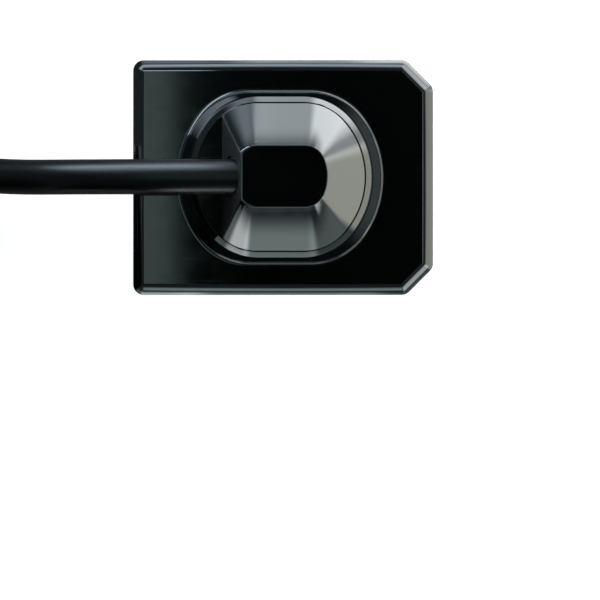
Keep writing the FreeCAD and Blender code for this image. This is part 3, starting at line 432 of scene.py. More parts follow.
# %% Cover
PARTING = 2.6 * MM
WEB_TOP = 8.8 * MM
WEB_BOTTOM = 7.8 * MM
CEILING = 4.2 * MM
WALL_END = 8.2 * MM
PLINTH = dict(foot=13.5 * MM, top=12.12 * MM), dict(foot=11.45 * MM, top=10.72 * MM)
FOOT_FILLET = 0.45 * MM
PLINTH_BLEND = 8.5 * MM
EDGE_DROP = 1.0 * MM
SEAM_EDGE = 0.12 * MM
LEDGE = 11.24, 9.84, 7.6  # circle, flat and blend in mm
OPENING = 9.52, 8.18, 0.3  # the same for the way into the boss
OPENING_WALL = 6.04  # mm towards the cable
WALL_THICK = 0.9 * MM
REBATE = 0.4 * MM
REBATE_TOP = 3.1 * MM


def plinth_row(height):
    """A level of the plinth's outside, fillets included."""
    radius, flat = (drafted(height, PLATE_TOP, WALL_END, side["foot"], side["top"],
                            FOOT_FILLET) for side in PLINTH)
    return ring(ray, level_reach(ray, radius, flat, PLINTH_BLEND), height)


def lip_row(share):
    """A level of the rim's slanted face: a straight slope whose two ends are rounded off."""
    along = np.array([0, 0.12, 0.9, 1.0])
    inwards = np.interp(share, along, [0, 0.04, 0.74, 0.86]) * MM
    height = WALL_END + np.interp(share, along, [-0.1, 0.06, 0.75, 0.78]) * MM
    radius, flat = (side["top"] - inwards for side in PLINTH)
    return ring(ray, level_reach(ray, radius, flat, PLINTH_BLEND - inwards), height)


def edge_rows():
    """The plate's edge, softer than a bevel and flatter than a round.

    Across and down it follows a rounded corner's cosine and sine, each raised to a power
    between the circle's 1 and the bevel's 2.
    """
    sweep = np.radians(np.linspace(0, 90, 15))
    across, down = 1 - np.cos(sweep) ** 1.75, 1 - np.sin(sweep) ** 1.75
    return [plan_row(EDGE * a, PLATE_TOP - EDGE_DROP * d) for a, d in zip(across, down)]


def boss_row(radius, flat, blend, height, wall=None):
    """A level ring of given reach, cut straight on the cable's side if a wall is given."""
    reach = level_reach(ray, radius * MM, flat * MM, blend * MM)
    if wall is not None:
        towards = np.maximum(-np.cos(ray), 1e-3)
        reach = np.minimum(reach, wall * MM / towards)
    return ring(ray, reach, height)


def cover_rows():
    """The closed profile: up over the outside from the seam, and down again inside."""
    sweep = np.radians(np.linspace(0, 90, 11))
    rows = [plan_row(SEAM_EDGE, PARTING), plan_row(0.3 * SEAM_EDGE, PARTING + 0.3 * SEAM_EDGE),
            plan_row(0, PARTING + SEAM_EDGE)]
    rows += edge_rows()
    foot = plinth_row(PLATE_TOP)
    rows += [rows[-1] + share * (foot - rows[-1]) for share in (0.03, 0.4, 0.8, 0.99)]
    rows += [plinth_row(PLATE_TOP + FOOT_FILLET * (1 - math.cos(a))) for a in sweep[:-1]]
    rows += [plinth_row(h * MM) for h in (5.5, 6.0, 6.8, 7.4, 7.9)]
    rows += [lip_row(s) for s in (0, 0.06, 0.12, 0.2, 0.4, 0.6, 0.8, 0.9, 0.95, 1)]
    rows += [boss_row(*LEDGE, 8.96 * MM), boss_row(*LEDGE, WEB_TOP),
             boss_row(*OPENING, WEB_TOP, OPENING_WALL),
             boss_row(*OPENING, WEB_BOTTOM, OPENING_WALL),
             boss_row(10.2, 9.04, 2, WEB_BOTTOM), boss_row(11.75, 9.7, 2, CEILING)]
    rows += [plan_row(WALL_THICK, CEILING), plan_row(WALL_THICK, REBATE_TOP),
             plan_row(REBATE, REBATE_TOP), plan_row(REBATE, PARTING)]
    return np.stack(rows)


profile = cover_rows()
worn = edge_share(profile) * (profile[..., 2] != WEB_TOP)
cover = make_skin("cover", profile, grid_faces(*profile.shape[:2], wrap_rows=True), edge=worn)
dress(cover, "housing_black", "back_cover")

# %% [markdown]
# ## Tray
# The tray is the shell that faces the X-ray tube.  It has the same plan, a flat floor, the
# same soft edge and a tongue that fits inside the cover.  Both shells have a fine bevel
# where they meet, which leaves the hairline seam that a glued housing shows.

# %% Tray
TONGUE = 0.45 * MM
TONGUE_TOP = 2.95 * MM
FLOOR_THICK = 0.5 * MM


def point_row(height):
    """A row that shrinks to one point in the middle, which closes a floor."""
    return np.tile([0.0, 0.0, height], (len(base), 1))


def tray_rows():
    """From the middle of the underside out, up round the edge, and down inside the wall."""
    sweep = np.radians(np.linspace(0, 90, 11))
    under = plan_row(EDGE, 0.0)
    rows = [point_row(0.0), under * (0.7, 0.7, 1), under * (0.99, 0.99, 1)]
    rows += [plan_row(EDGE * (1 - math.sin(a)), EDGE * (1 - math.cos(a))) for a in sweep]
    rows += [plan_row(0, PARTING - SEAM_EDGE),
             plan_row(0.3 * SEAM_EDGE, PARTING - 0.3 * SEAM_EDGE),
             plan_row(SEAM_EDGE, PARTING), plan_row(TONGUE, PARTING),
             plan_row(TONGUE, TONGUE_TOP), plan_row(WALL_THICK, TONGUE_TOP),
             plan_row(WALL_THICK, FLOOR_THICK), point_row(FLOOR_THICK)]
    return np.stack(rows)


profile = tray_rows()
tray = make_skin("tray", profile, grid_faces(*profile.shape[:2]), edge=edge_share(profile))
dress(tray, "housing_black", "front_shell")

# %% [markdown]
# ## Boss cap
# The cap closes over the cable's end and stands on the plinth's ledge.  It is the same
# clipped cone, much steeper, and cut to a slanted wall where the cable comes out.  Its rows
# are level, and each runs from one edge of the cable's hole round to the other, so the hole
# needs no Boolean.  The inside follows at the wall's thickness.

# %% Boss cap
CAP_FOOT = 8.95 * MM
CROWN_TOP = 15.1 * MM
CABLE_AXIS = 11.8 * MM
BORE = 2.75 * MM
CROWN_ROUND = 0.28 * MM
CAP_CONE = 11.21 * MM, 6.22 * MM  # distance from the axis at the foot and at the top
CAP_FLAT = 9.81 * MM, 4.02 * MM
CAP_CUT = 7.76 * MM, 5.3 * MM  # the slanted wall on the cable's side
CUT_SOFTNESS = 0.22 * MM
CAP_WALL = 1.3 * MM
CAP_COLUMNS = 640


def soft_least(a, b, reach):
    """The smaller of two lengths, with a rounded change from one to the other."""
    mix = np.clip(0.5 + 0.5 * (b - a) / reach, 0, 1)
    return b * (1 - mix) + a * mix - reach * mix * (1 - mix)


def cap_row(height, wall, level=None):
    """One level of the cap, moved inwards by a wall, from hole edge to hole edge.

    At the hole the row starts where the wall's plane meets the bore's half-width at this
    height, and elsewhere straight behind the axis, where its two ends meet.
    """
    level = height if level is None else level
    radius, flat, cut = (drafted(height, CAP_FOOT, CROWN_TOP, *ends, rounding=CROWN_ROUND)
                         - wall for ends in (CAP_CONE, CAP_FLAT, CAP_CUT))
    half = math.sqrt(max(BORE ** 2 - (level - CABLE_AXIS) ** 2, 0))
    last = math.pi - math.atan2(half, cut)
    angle = np.linspace(-last, last, CAP_COLUMNS)
    rise = (height - CAP_FOOT) / (CROWN_TOP - CAP_FOOT)
    blend = min((7.0 - 4.2 * rise) * MM - wall, flat - 0.2 * MM)
    round_part = level_reach(angle, radius, flat, blend)
    towards = np.maximum(-np.cos(angle), 1e-3)
    reach = soft_least(round_part, cut / towards, CUT_SOFTNESS)
    return ring(angle, reach, level)


def cap_rows():
    """Outside from pole to foot, down the spigot, and inside back up to its own pole."""
    hole = CABLE_AXIS + BORE * np.cos(np.linspace(0, math.pi, 37))
    crown = CROWN_TOP - CROWN_ROUND * (1 - np.sin(np.radians(np.linspace(90, 18, 9))))
    height = np.concatenate([crown, [14.65 * MM], hole, [CAP_FOOT]])
    wall = CAP_WALL * (1 + (CROWN_TOP - height) / (CROWN_TOP - CAP_FOOT))
    outside = [cap_row(h, 0) for h in height]
    top = outside[0] * (0.97, 0.97, 1) + (0.03 * BOSS_X, 0, 0)
    pole = np.tile([BOSS_X, 0, CROWN_TOP], (CAP_COLUMNS, 1))
    spigot = [cap_row(CAP_FOOT, w * MM, z * MM)
              for w, z in ((1.8, 8.95), (1.8, 8.0), (2.6, 8.0))]
    ceiling = 14.6 * MM
    inside = [cap_row(h, w, min(h, ceiling)) for h, w in zip(height, wall)]
    inner_pole = np.tile([BOSS_X, 0, ceiling], (CAP_COLUMNS, 1))
    rows = np.stack([pole, top, *outside, *spigot, *inside[::-1], inner_pole])
    first = 2 + len(crown) + 1
    mirror = len(rows) - 2 - np.arange(len(height))
    return rows, np.arange(first, first + len(hole)), mirror[first - 2:first - 2 + len(hole)]


profile, outer, inner = cap_rows()
face = BOSS_X - drafted(profile[..., 2], CAP_FOOT, CROWN_TOP, *CAP_CUT)
matt = np.clip((face - profile[..., 0]) / (0.1 * MM) + 1.5, 0, 1)
index = np.arange(len(profile) * CAP_COLUMNS).reshape(-1, CAP_COLUMNS)
bore = [np.stack([index[outer[:-1], side], index[outer[1:], side],
                  index[inner[1:], side], index[inner[:-1], side]], axis=-1)
        for side in (0, -1)]
cap = make_skin("cap", profile,
                np.vstack([grid_faces(*profile.shape[:2], wrap_columns=False), *bore]),
                edge=edge_share(profile), matt=matt)
dress(cap, "housing_black", "boss_cap")

# %% [markdown]
# ## Strap round the coil
# A hook-and-loop strap holds the spare cable.  It is one thin band that goes once round one
# side of the coil and ends in an overlap on the outside.  Its path is a rounded rectangle
# across the cable, and its width lies along the cable.

# %% Strap
STRAP_THICK = 0.32 * MM
STRAP_HALF = 6 * MM


def strap_path(steps, inner, outer, low, high, corner, overlap):
    """Points and outward directions along a rounded rectangle, run past its start.

    The rectangle's corner centres are a smaller rectangle.  The path's length is shared out
    evenly, and each point is a centre plus the corner radius times its direction.  It steps
    outwards by one thickness before it meets its start, so that the overlap lies on it.
    """
    a, b, c, d = inner + corner, outer - corner, low + corner, high - corner
    stops = np.array([(b, d), (a, d), (a, c), (b, c), (b, d)])
    turn = np.radians([0, 90, 90, 180, 180, 270, 270, 360, 360])
    knots = np.repeat(stops, 2, axis=0)[:9]
    knots[1::2] = stops[:4]
    arc = np.diff(turn) * corner
    span = np.cumsum([0, *(np.hypot(*np.diff(knots, axis=0).T) + arc)])
    at = np.linspace(0, span[-1] + overlap, steps)
    lap = at % span[-1]
    centre = np.stack([np.interp(lap, span, knots[:, i]) for i in (0, 1)], axis=1)
    angle = np.interp(lap, span, turn)
    out = np.stack([np.cos(angle), np.sin(angle)], axis=1)
    step = np.clip((at - span[-1]) / (3 * MM) + 1, 0, 1)[:, None]
    lift = step * step * (3 - 2 * step) * STRAP_THICK * 1.05
    return centre + out * (corner + lift), out, at


def strap_points(steps=260):
    """The band's closed section, a flat oval, carried along the path."""
    path, out, at = strap_path(steps, inner=12.2 * MM, outer=25.4 * MM, low=STRAP_THICK,
                               high=19.38 * MM, corner=2.5 * MM, overlap=13 * MM)
    around = np.linspace(0, 2 * math.pi, 28, endpoint=False)
    across = STRAP_HALF * np.sign(np.cos(around)) * np.abs(np.cos(around)) ** 0.25
    up = 0.5 * STRAP_THICK * (1 + np.sign(np.sin(around)) * np.abs(np.sin(around)) ** 0.5)
    section = path[:, None, :] + out[:, None, :] * up[None, :, None]
    points = np.concatenate([np.broadcast_to(STRAP_X + across, section.shape[:2])[..., None],
                             section + (COIL_CENTRE[1], 0)], axis=-1)
    ends = points[[0, -1]].mean(axis=1, keepdims=True)
    caps = np.broadcast_to(ends, (2, len(around), 3))
    length = np.broadcast_to(at[[0, *range(steps), -1], None], (steps + 2, len(around)))
    return np.concatenate([caps[:1], points, caps[1:]]), length


grid, length = strap_points()
strap = make_skin("strap", grid, grid_faces(*grid.shape[:2]), 50, along=length)
dress(strap, "strap_black", "cable_tie")

# %% [markdown]
# ## Plug's boot
# Behind the plug the cable is held by a tapered sleeve, slotted from its four sides in turn
# so that it bends evenly.  Its sections are rounded squares along the cable.  In a slotted
# stretch two opposite sides draw in to the core.

# %% Boot of the plug
PLUG_Y = -37.2 * MM
PLUG_Z = 22.8 * MM
BOOT_START = -115 * MM
BOOT_LENGTH = 24 * MM
BOOT_HALF, BOOT_GROWTH = 3.0, 0.8  # half-width in mm at the cable, and what it gains
BOOT_CORNER = 0.55  # the power that squares the section: 1 would be round
BOOT_CORE = 2.5 * MM
SLOT_PITCH = 4.8 * MM
SLOT_HALF = 0.65 * MM
SLOT_LIP = 0.08 * MM
LIP_SIZE = 0.98


def rounded_square(around, half, corner):
    """Half-width times cosine and sine, each raised to a small power with its sign kept."""
    c, s = np.cos(around), np.sin(around)
    return (half * np.sign(c) * np.abs(c) ** corner,
            half * np.sign(s) * np.abs(s) ** corner)


def boot_points(sides=96):
    """Sections along the boot; inside a slot, y or z is held to the core's half-width.

    Slots in the two sides take turns with slots in the top and the underside.  Just outside
    a slot the section is slightly smaller, which softens the slot's lips.
    """
    slots = [((k + 1) / 2 * SLOT_PITCH, k % 2) for k in range(8)]
    cuts = np.array([(s - SLOT_HALF, s + SLOT_HALF) for s, _ in slots]).ravel()
    at = np.unique(np.concatenate([
        [0, SLOT_LIP, BOOT_LENGTH], np.linspace(0, BOOT_LENGTH, 49), cuts,
        cuts - SLOT_LIP, cuts + SLOT_LIP]))
    around = np.linspace(0, 2 * math.pi, sides, endpoint=False)
    rows = []
    for x in at:
        half = (BOOT_HALF + BOOT_GROWTH * x / BOOT_LENGTH) * MM - (0.1 * MM if x == 0 else 0)
        place = list(rounded_square(around, half, BOOT_CORNER))
        for middle, side in slots:
            depth = abs(x - middle)
            if depth <= SLOT_HALF + 1e-9:
                place[side] = np.clip(place[side], -BOOT_CORE, BOOT_CORE)
            elif depth < SLOT_HALF + SLOT_LIP + 1e-9:
                place[side] = place[side] * LIP_SIZE
        rows.append(np.column_stack([np.full(sides, BOOT_START + x), PLUG_Y + place[0],
                                     PLUG_Z + place[1]]))
    ends = [np.tile([BOOT_START + x, PLUG_Y, PLUG_Z], (sides, 1)) for x in (0.0, BOOT_LENGTH)]
    return np.stack([ends[0], *rows, ends[1]])


grid = boot_points()
boot = make_skin("boot", grid, grid_faces(*grid.shape[:2]), 40)
dress(boot, "overmould_black", "plug_boot")

# %% [markdown]
# ## Plug's grip
# The grip is an overmoulded block, narrowed towards the cable and dished on both faces for
# the thumb.  Its sections are rounded rectangles along the plug's axis, and the dish is a
# smooth step in the height of the flat faces.

# %% Grip of the plug
GRIP_START = -91 * MM
GRIP_LENGTH = 33 * MM
GRIP_TAPER = 11 * MM
GRIP_NARROW, GRIP_WIDENING = 5.5 * MM, 2.5 * MM  # half-width, and what the taper adds
GRIP_HALF_HEIGHT = 4 * MM
GRIP_EDGE = 0.6 * MM
GRIP_CORNER = 2.2 * MM
DISH_START, DISH_END = 11 * MM, 26 * MM
DISH_HALF_WIDTH = 4.5 * MM
DISH_DEPTH = 0.4 * MM
DISH_SOFTNESS = 0.8 * MM


def smooth_step(value):
    """From 0 to 1 with a level start and end: three squares less two cubes."""
    value = np.clip(value, 0, 1)
    return value * value * (3 - 2 * value)


def grip_points():
    """Rounded rectangles whose half-width grows along the taper; both ends are domed."""
    edge, length = GRIP_EDGE, GRIP_LENGTH
    bend = edge * (1 - np.cos(np.linspace(0, math.pi / 2, 7)))
    at = np.unique(np.concatenate([bend, np.linspace(edge, length - edge, 90), length - bend]))
    end = np.minimum(np.minimum(at, length - at) / edge, 1)
    inset = edge * (1 - np.sqrt(np.clip(1 - (1 - end) ** 2, 0, None)))
    half = GRIP_NARROW + GRIP_WIDENING * smooth_step(at / GRIP_TAPER * 0.9 + 0.05)
    run = np.radians(np.linspace(0, 90, 11))
    flat = np.linspace(1, -1, 41)[1:-1]
    side = np.linspace(1, -1, 9)[1:-1]
    sections = []
    for x, h, i in zip(at, half, inset):
        w, t = h - GRIP_CORNER, GRIP_HALF_HEIGHT - GRIP_CORNER
        r = GRIP_CORNER - i
        quarter = [(w + r * np.cos(run), t + r * np.sin(run)),
                   (w * flat, np.full(39, t + r)),
                   (-w - r * np.sin(run), t + r * np.cos(run)),
                   (np.full(7, -w - r), t * side)]
        y = np.concatenate([*(q[0] for q in quarter), *(-q[0] for q in quarter)])
        z = np.concatenate([*(q[1] for q in quarter), *(-q[1] for q in quarter)])
        ends = (smooth_step((x - DISH_START) / DISH_SOFTNESS)
                * smooth_step((DISH_END - x) / DISH_SOFTNESS))
        across = smooth_step((DISH_HALF_WIDTH - np.abs(y)) / DISH_SOFTNESS)
        z = z - np.sign(z) * DISH_DEPTH * ends * across
        sections.append(np.column_stack([np.full(len(y), GRIP_START + x), PLUG_Y + y,
                                         PLUG_Z + z]))
    rows = np.stack(sections)
    caps = [np.broadcast_to(rows[k].mean(axis=0), rows[k].shape) for k in (0, -1)]
    return np.concatenate([caps[0][None], rows, caps[1][None]])


grid = grip_points()
grip = make_skin("grip", grid, grid_faces(*grid.shape[:2]), 40)
dress(grip, "overmould_black", "plug_grip")

# %% [markdown]
# ## What hangs on the cable
# The cable is limp: it starts at the boss and carries the plug at its other end, and the
# strap and the plug's own pieces move with it.  This cell only counts the points of its
# smooth line.

print("cable declared with its strap and plug, along", len(line), "points")

# %% [markdown]
# ## How a finish is made
# Every finish is one Principled shader.  Its plain numbers stand on the shader itself, and
# patterns come from a few small nodes: noise for grain, cells for granules and fibres, ribs
# for weaves and grids.  Pictures of real surfaces would also do, but these patterns need no
# file, have no seams and stay sharp at any distance.  All sizes are true ones.

# %% Helpers for finishes
class Finish:
    """A shader and the nodes that drive it; every method adds nodes and gives an output."""

    def __init__(self, title, colour, roughness, **sockets):
        self.material = bpy.data.materials.new(title)
        self.material.use_nodes = True
        self.tree = self.material.node_tree
        self.shader = self.tree.nodes["Principled BSDF"]
        sockets = {"Base Color": (*colour, 1), "Roughness": roughness, **sockets}
        for socket, value in sockets.items():
            self.shader.inputs[socket].default_value = value
        self.place = self.add("TexCoord", out="Object")

    def add(self, kind, inputs=(), out=0, **settings):
        """A node of a kind, its inputs joined or set, and one of its outputs."""
        made = self.tree.nodes.new("ShaderNode" + kind)
        for setting, value in settings.items():
            setattr(made, setting, value)
        for socket, value in dict(inputs).items():
            if isinstance(value, bpy.types.NodeSocket):
                self.tree.links.new(value, made.inputs[socket])
            else:
                made.inputs[socket].default_value = value
        return made.outputs[out]

    def scaled(self, size, stretch, at=None):
        """Places measured in units of a size, drawn out along some directions."""
        scale = [1 / (size * s) for s in stretch]
        return self.add("Mapping", {"Vector": at or self.place, "Scale": scale})

    def grain(self, size, detail=3, stretch=(1, 1, 1), at=None):
        """Noise from 0 to 1 whose lumps are about one size."""
        place = self.scaled(size, stretch, at)
        return self.add("TexNoise", {"Vector": place, "Scale": 1, "Detail": detail})

    def cells(self, size, feature="F1", stretch=(1, 1, 1), spread=1.0, out="Distance"):
        """Cells of about one size: the distance to their middle or to their edge."""
        place = self.scaled(size, stretch)
        return self.add("TexVoronoi", {"Vector": place, "Scale": 1, "Randomness": spread},
                        out, feature=feature)

    def axis(self, name, at=None):
        """One coordinate of a place, in metres."""
        return self.add("SeparateXYZ", {0: at or self.place}, out=name)

    def value(self, title):
        """A value that was worked out with the mesh."""
        return self.add("Attribute", out="Fac", attribute_name=title)

    def sum(self, kind, a, b=0.0):
        """Any sum of two values, or of one."""
        return self.add("Math", {0: a, 1: b}, operation=kind)

    def ribs(self, along, pitch):
        """A smooth wave from 0 to 1, once in every pitch along a coordinate."""
        wave = self.sum("SINE", self.sum("MULTIPLY", along, math.tau / pitch))
        return self.sum("MULTIPLY", self.sum("ADD", wave, 1.0), 0.5)

    def between(self, value, start, end, low=0.0, high=1.0):
        """A value's way from start to end becomes a way from low to high, and stops there."""
        return self.add("MapRange", {"Value": value, "From Min": start, "From Max": end,
                                     "To Min": low, "To Max": high})

    def tint(self, share, first, second):
        """A colour between two others, by a share."""
        ends = [c if isinstance(c, bpy.types.NodeSocket) else (*c, 1) for c in (first, second)]
        return self.add("Mix", {0: share, 6: ends[0], 7: ends[1]}, 2, data_type="RGBA")

    def drive(self, socket, value):
        """A pattern takes the place of the shader's plain number."""
        self.tree.links.new(value, self.shader.inputs[socket])

    def relief(self, height, depth):
        """Unevenness of a true depth, laid over what is there already."""
        inputs = {"Height": height, "Distance": depth, "Strength": 1.0}
        for link in self.shader.inputs["Normal"].links:
            inputs["Normal"] = link.from_socket
        self.drive("Normal", self.add("Bump", inputs))


def coat(finish, *pieces):
    """Gives pieces, or nodes by their names, a finish in place of what they had."""
    for piece in pieces:
        piece = frame["nodes"][piece] if isinstance(piece, str) else piece
        if not piece.material_slots:
            piece.data.materials.append(finish.material)
        piece.material_slots[0].material = finish.material
    print(finish.material.name, "on", len(pieces), "pieces")


print("ways to build a finish:", *(name for name in vars(Finish) if name[0] != "_"))

# %% [markdown]
# ## Polished housing
# The shells and the cap come out of a polished mould in black, so they mirror the room like
# wet ink.  What tells them from a computer's perfect black is the skin: a long slow wave
# where the wall sank, a trace of orange peel, hairlines from wiping, and edges that have
# gone slightly dull in use.  The edge value was worked out with each mesh.

# %% Finish of the housing
def housing_finish():
    """Gloss, duller where the edge value and the matt wall say so, with hairlines."""
    finish = Finish("polished black moulding", (0.0016, 0.0018, 0.0019), 0.07)
    worn = finish.sum("MULTIPLY", finish.value("edge"), finish.grain(0.25 * MM, 4))
    wiped = [finish.between(finish.grain(0.35 * MM, 2, stretch), 0.66, 0.72)
             for stretch in ((22, 1, 8), (1, 26, 8), (18, 1.6, 8))]
    lines = finish.sum("MAXIMUM", finish.sum("MAXIMUM", wiped[0], wiped[1]), wiped[2])
    haze = finish.between(finish.grain(2.4 * MM), 0.35, 0.7, 0.045, 0.065)
    rough = finish.sum("ADD", finish.sum("ADD", haze, finish.sum("MULTIPLY", worn, 0.06)),
                       finish.sum("MULTIPLY", finish.value("matt"), 0.42))
    finish.drive("Roughness", finish.sum("ADD", rough, finish.sum("MULTIPLY", lines, 0.018)))
    shade = finish.tint(worn, (0.001, 0.0012, 0.0013), (0.006, 0.0065, 0.0065))
    finish.drive("Base Color", shade)
    finish.relief(finish.grain(7 * MM, 1), 2.0e-6)
    finish.relief(finish.grain(0.7 * MM, 1), 0.12e-6)
    return finish


coat(housing_finish(), cover, tray, cap)

# %% [markdown]
# ## Cable jacket
# The jacket is drawn from a die, which leaves it satin, with faint lines along its length
# and a slight change of gloss from place to place.  A picture wrapped round it would show a
# seam, so the grain is looked up by each point's place in the section and its distance along
# the cable.  That makes the lines follow every turn of the coil.

# %% Finish of the cable
def cable_finish():
    """Satin with drawn lines that follow the cable, and slightly uneven gloss."""
    finish = Finish("black cable jacket", (0.0008, 0.0009, 0.001), 0.3,
                    **{"Specular IOR Level": 0.2})
    section = finish.add("CombineXYZ", {i: finish.value(title) for i, title in
                                        enumerate(("across", "upward", "along"))})
    drawn = finish.grain(0.3 * MM, 3, (1, 1, 60), section)
    spots = finish.grain(0.35 * MM, 3)
    finish.drive("Roughness", finish.between(finish.sum("ADD", drawn, spots),
                                             0.75, 1.3, 0.31, 0.39))
    finish.relief(drawn, 2.0e-6)
    finish.relief(finish.grain(0.12 * MM, 2), 0.5e-6)
    return finish


coat(cable_finish(), cable)

# %% [markdown]
# ## Moulded grip, boot and strain relief
# The handled parts are a softer black, moulded in a tool whose face was etched by sparks.
# That leaves a fine even grain that hides scratches and breaks up the light, with a little
# polish where fingers rub the high spots.

# %% Finish of the overmould
def overmould_finish():
    """Even spark-etched bumps, polished in patches."""
    finish = Finish("fine-grained black overmould", (0.008, 0.008, 0.009), 0.5)
    bumps = finish.cells(0.16 * MM, "SMOOTH_F1")
    rubbed = finish.grain(4 * MM, 2)
    finish.drive("Base Color", finish.tint(rubbed, (0.006, 0.006, 0.007), (0.013, 0.013, 0.014)))
    finish.drive("Roughness", finish.between(finish.sum("ADD", bumps, rubbed),
                                             0.4, 1.2, 0.58, 0.42))
    finish.relief(bumps, 22e-6)
    finish.relief(finish.grain(0.07 * MM, 2), 6e-6)
    return finish


coat(overmould_finish(), boot, grip, "strain_block")

# %% [markdown]
# ## Strap
# Hook-and-loop strap is a woven tape with a fuzzy face.  Ribs across and along the band give
# the weave, every second one shifted by half, and noise stands for the loops that stand up
# from it.  The value along the band was worked out with its mesh.

# %% Finish of the strap
def strap_finish():
    """Ribs along times ribs across, with fuzz over them."""
    finish = Finish("woven black strap", (0.009, 0.009, 0.01), 0.9,
                    **{"Sheen Weight": 0.35, "Sheen Roughness": 0.5,
                       "Specular IOR Level": 0.2})
    along, across = finish.value("along"), finish.axis("X")
    shifted = finish.sum("ADD", along, finish.sum("MULTIPLY", finish.sum(
        "FLOOR", finish.sum("MULTIPLY", across, 1 / (0.5 * MM))), 0.3 * MM))
    weave = finish.sum("MULTIPLY", finish.ribs(shifted, 0.6 * MM),
                       finish.sum("SQRT", finish.ribs(across, 0.5 * MM)))
    fuzz = finish.grain(0.18 * MM, 5)
    finish.drive("Base Color", finish.tint(finish.sum("MULTIPLY", weave, fuzz),
                                           (0.004, 0.004, 0.0045), (0.03, 0.03, 0.032)))
    finish.relief(weave, 0.07 * MM)
    finish.relief(fuzz, 0.05 * MM)
    return finish


coat(strap_finish(), strap)

# %% [markdown]
# ## Rubber seals
# The grommet round the cable, the cap's gasket and the bead in the housing's seam are soft
# rubbers.  Rubber shows no clear mirror image: it is dull, a little dusty, and finely
# pitted.  One function makes the black pieces and the grey sealant.

# %% Finish of the rubbers
def rubber_finish(title, colour, dust, roughness, pit):
    """Dull, with a bloom of dust and fine pits."""
    finish = Finish(title, colour, roughness)
    bloom = finish.grain(1.1 * MM, 5)
    finish.drive("Base Color", finish.tint(finish.between(bloom, 0.4, 0.75), colour, dust))
    finish.drive("Roughness", finish.between(bloom, 0.3, 0.7, roughness - 0.07,
                                             roughness + 0.08))
    finish.relief(finish.grain(pit, 3), pit * 0.09)
    return finish


coat(rubber_finish("black rubber", (0.004, 0.004, 0.0045), (0.011, 0.011, 0.012), 0.55,
                   0.1 * MM), "cable_grommet", "cap_seal")
coat(rubber_finish("grey sealant", (0.2, 0.2, 0.21), (0.27, 0.27, 0.28), 0.5, 0.5 * MM),
     "seam_seal")

# %% [markdown]
# ## Metals
# Four metals hide in the sensor and its plug: stamped steel, a tinned braid, rolled lead and
# gold.  Steel and lead were rolled, so their grain is drawn out in one direction.  The braid
# is bundles of wire wound both ways round the core, which ribs on its slanted directions
# give.  Gold is plated on and nearly smooth.

# %% Finishes of the metals
def rolled_finish(title, bright, dull, roughness, line, stretch):
    """Metal from a rolling mill: fine lines drawn out along one direction."""
    finish = Finish(title, bright, roughness, Metallic=1.0)
    lines = finish.grain(line, 4, stretch)
    stain = finish.grain(2.2 * MM, 4)
    finish.drive("Base Color", finish.tint(finish.between(stain, 0.45, 0.8), bright, dull))
    finish.drive("Roughness", finish.between(lines, 0.3, 0.7, roughness - 0.08,
                                             roughness + 0.1))
    finish.relief(lines, line * 0.04)
    return finish


def braid_finish():
    """Slanted ribs both ways round the core; a sign of their product picks which is on top."""
    finish = Finish("tinned braid", (0.62, 0.61, 0.59), 0.3, Metallic=1.0)
    x, y, z = (finish.axis(name) for name in "XYZ")
    turn = finish.sum("MULTIPLY", finish.sum("ARCTAN2", y, finish.sum(
        "SUBTRACT", z, CABLE_AXIS)), 1.75 * MM)
    one = finish.ribs(finish.sum("ADD", x, turn), 0.55 * MM)
    other = finish.ribs(finish.sum("SUBTRACT", x, turn), 0.55 * MM)
    strands = finish.sum("MAXIMUM", one, other)
    finish.drive("Base Color", finish.tint(strands, (0.2, 0.19, 0.18), (0.66, 0.65, 0.63)))
    finish.drive("Roughness", finish.between(finish.grain(0.2 * MM), 0.3, 0.7, 0.24, 0.42))
    finish.relief(strands, 0.08 * MM)
    return finish


coat(rolled_finish("stamped steel", (0.62, 0.62, 0.63), (0.5, 0.49, 0.48), 0.26, 0.09 * MM,
                   (30, 1, 1)), "plug_shell", "crystal_can", "crimp_ferrule")
coat(rolled_finish("rolled lead", (0.2, 0.21, 0.23), (0.12, 0.12, 0.14), 0.48, 0.3 * MM,
                   (1, 12, 1)), "backscatter_shield")
coat(rolled_finish("plated gold", (0.86, 0.6, 0.22), (0.78, 0.5, 0.2), 0.2, 0.06 * MM,
                   (6, 1, 1)), "bond_wires", "plug_contacts")
coat(braid_finish(), "cable_braid")

# %% [markdown]
# ## Circuit board
# The board's solder mask is a green lacquer over copper tracks, which show through as a
# slightly lighter, raised net.  Tracks run at right angles, so they come from two sets of
# ribs that noise switches on and off in patches.  Below the lacquer, the cut edge of the
# board is bare glass fibre.

# %% Finish of the board
BOARD_MIDDLE = 2.95 * MM


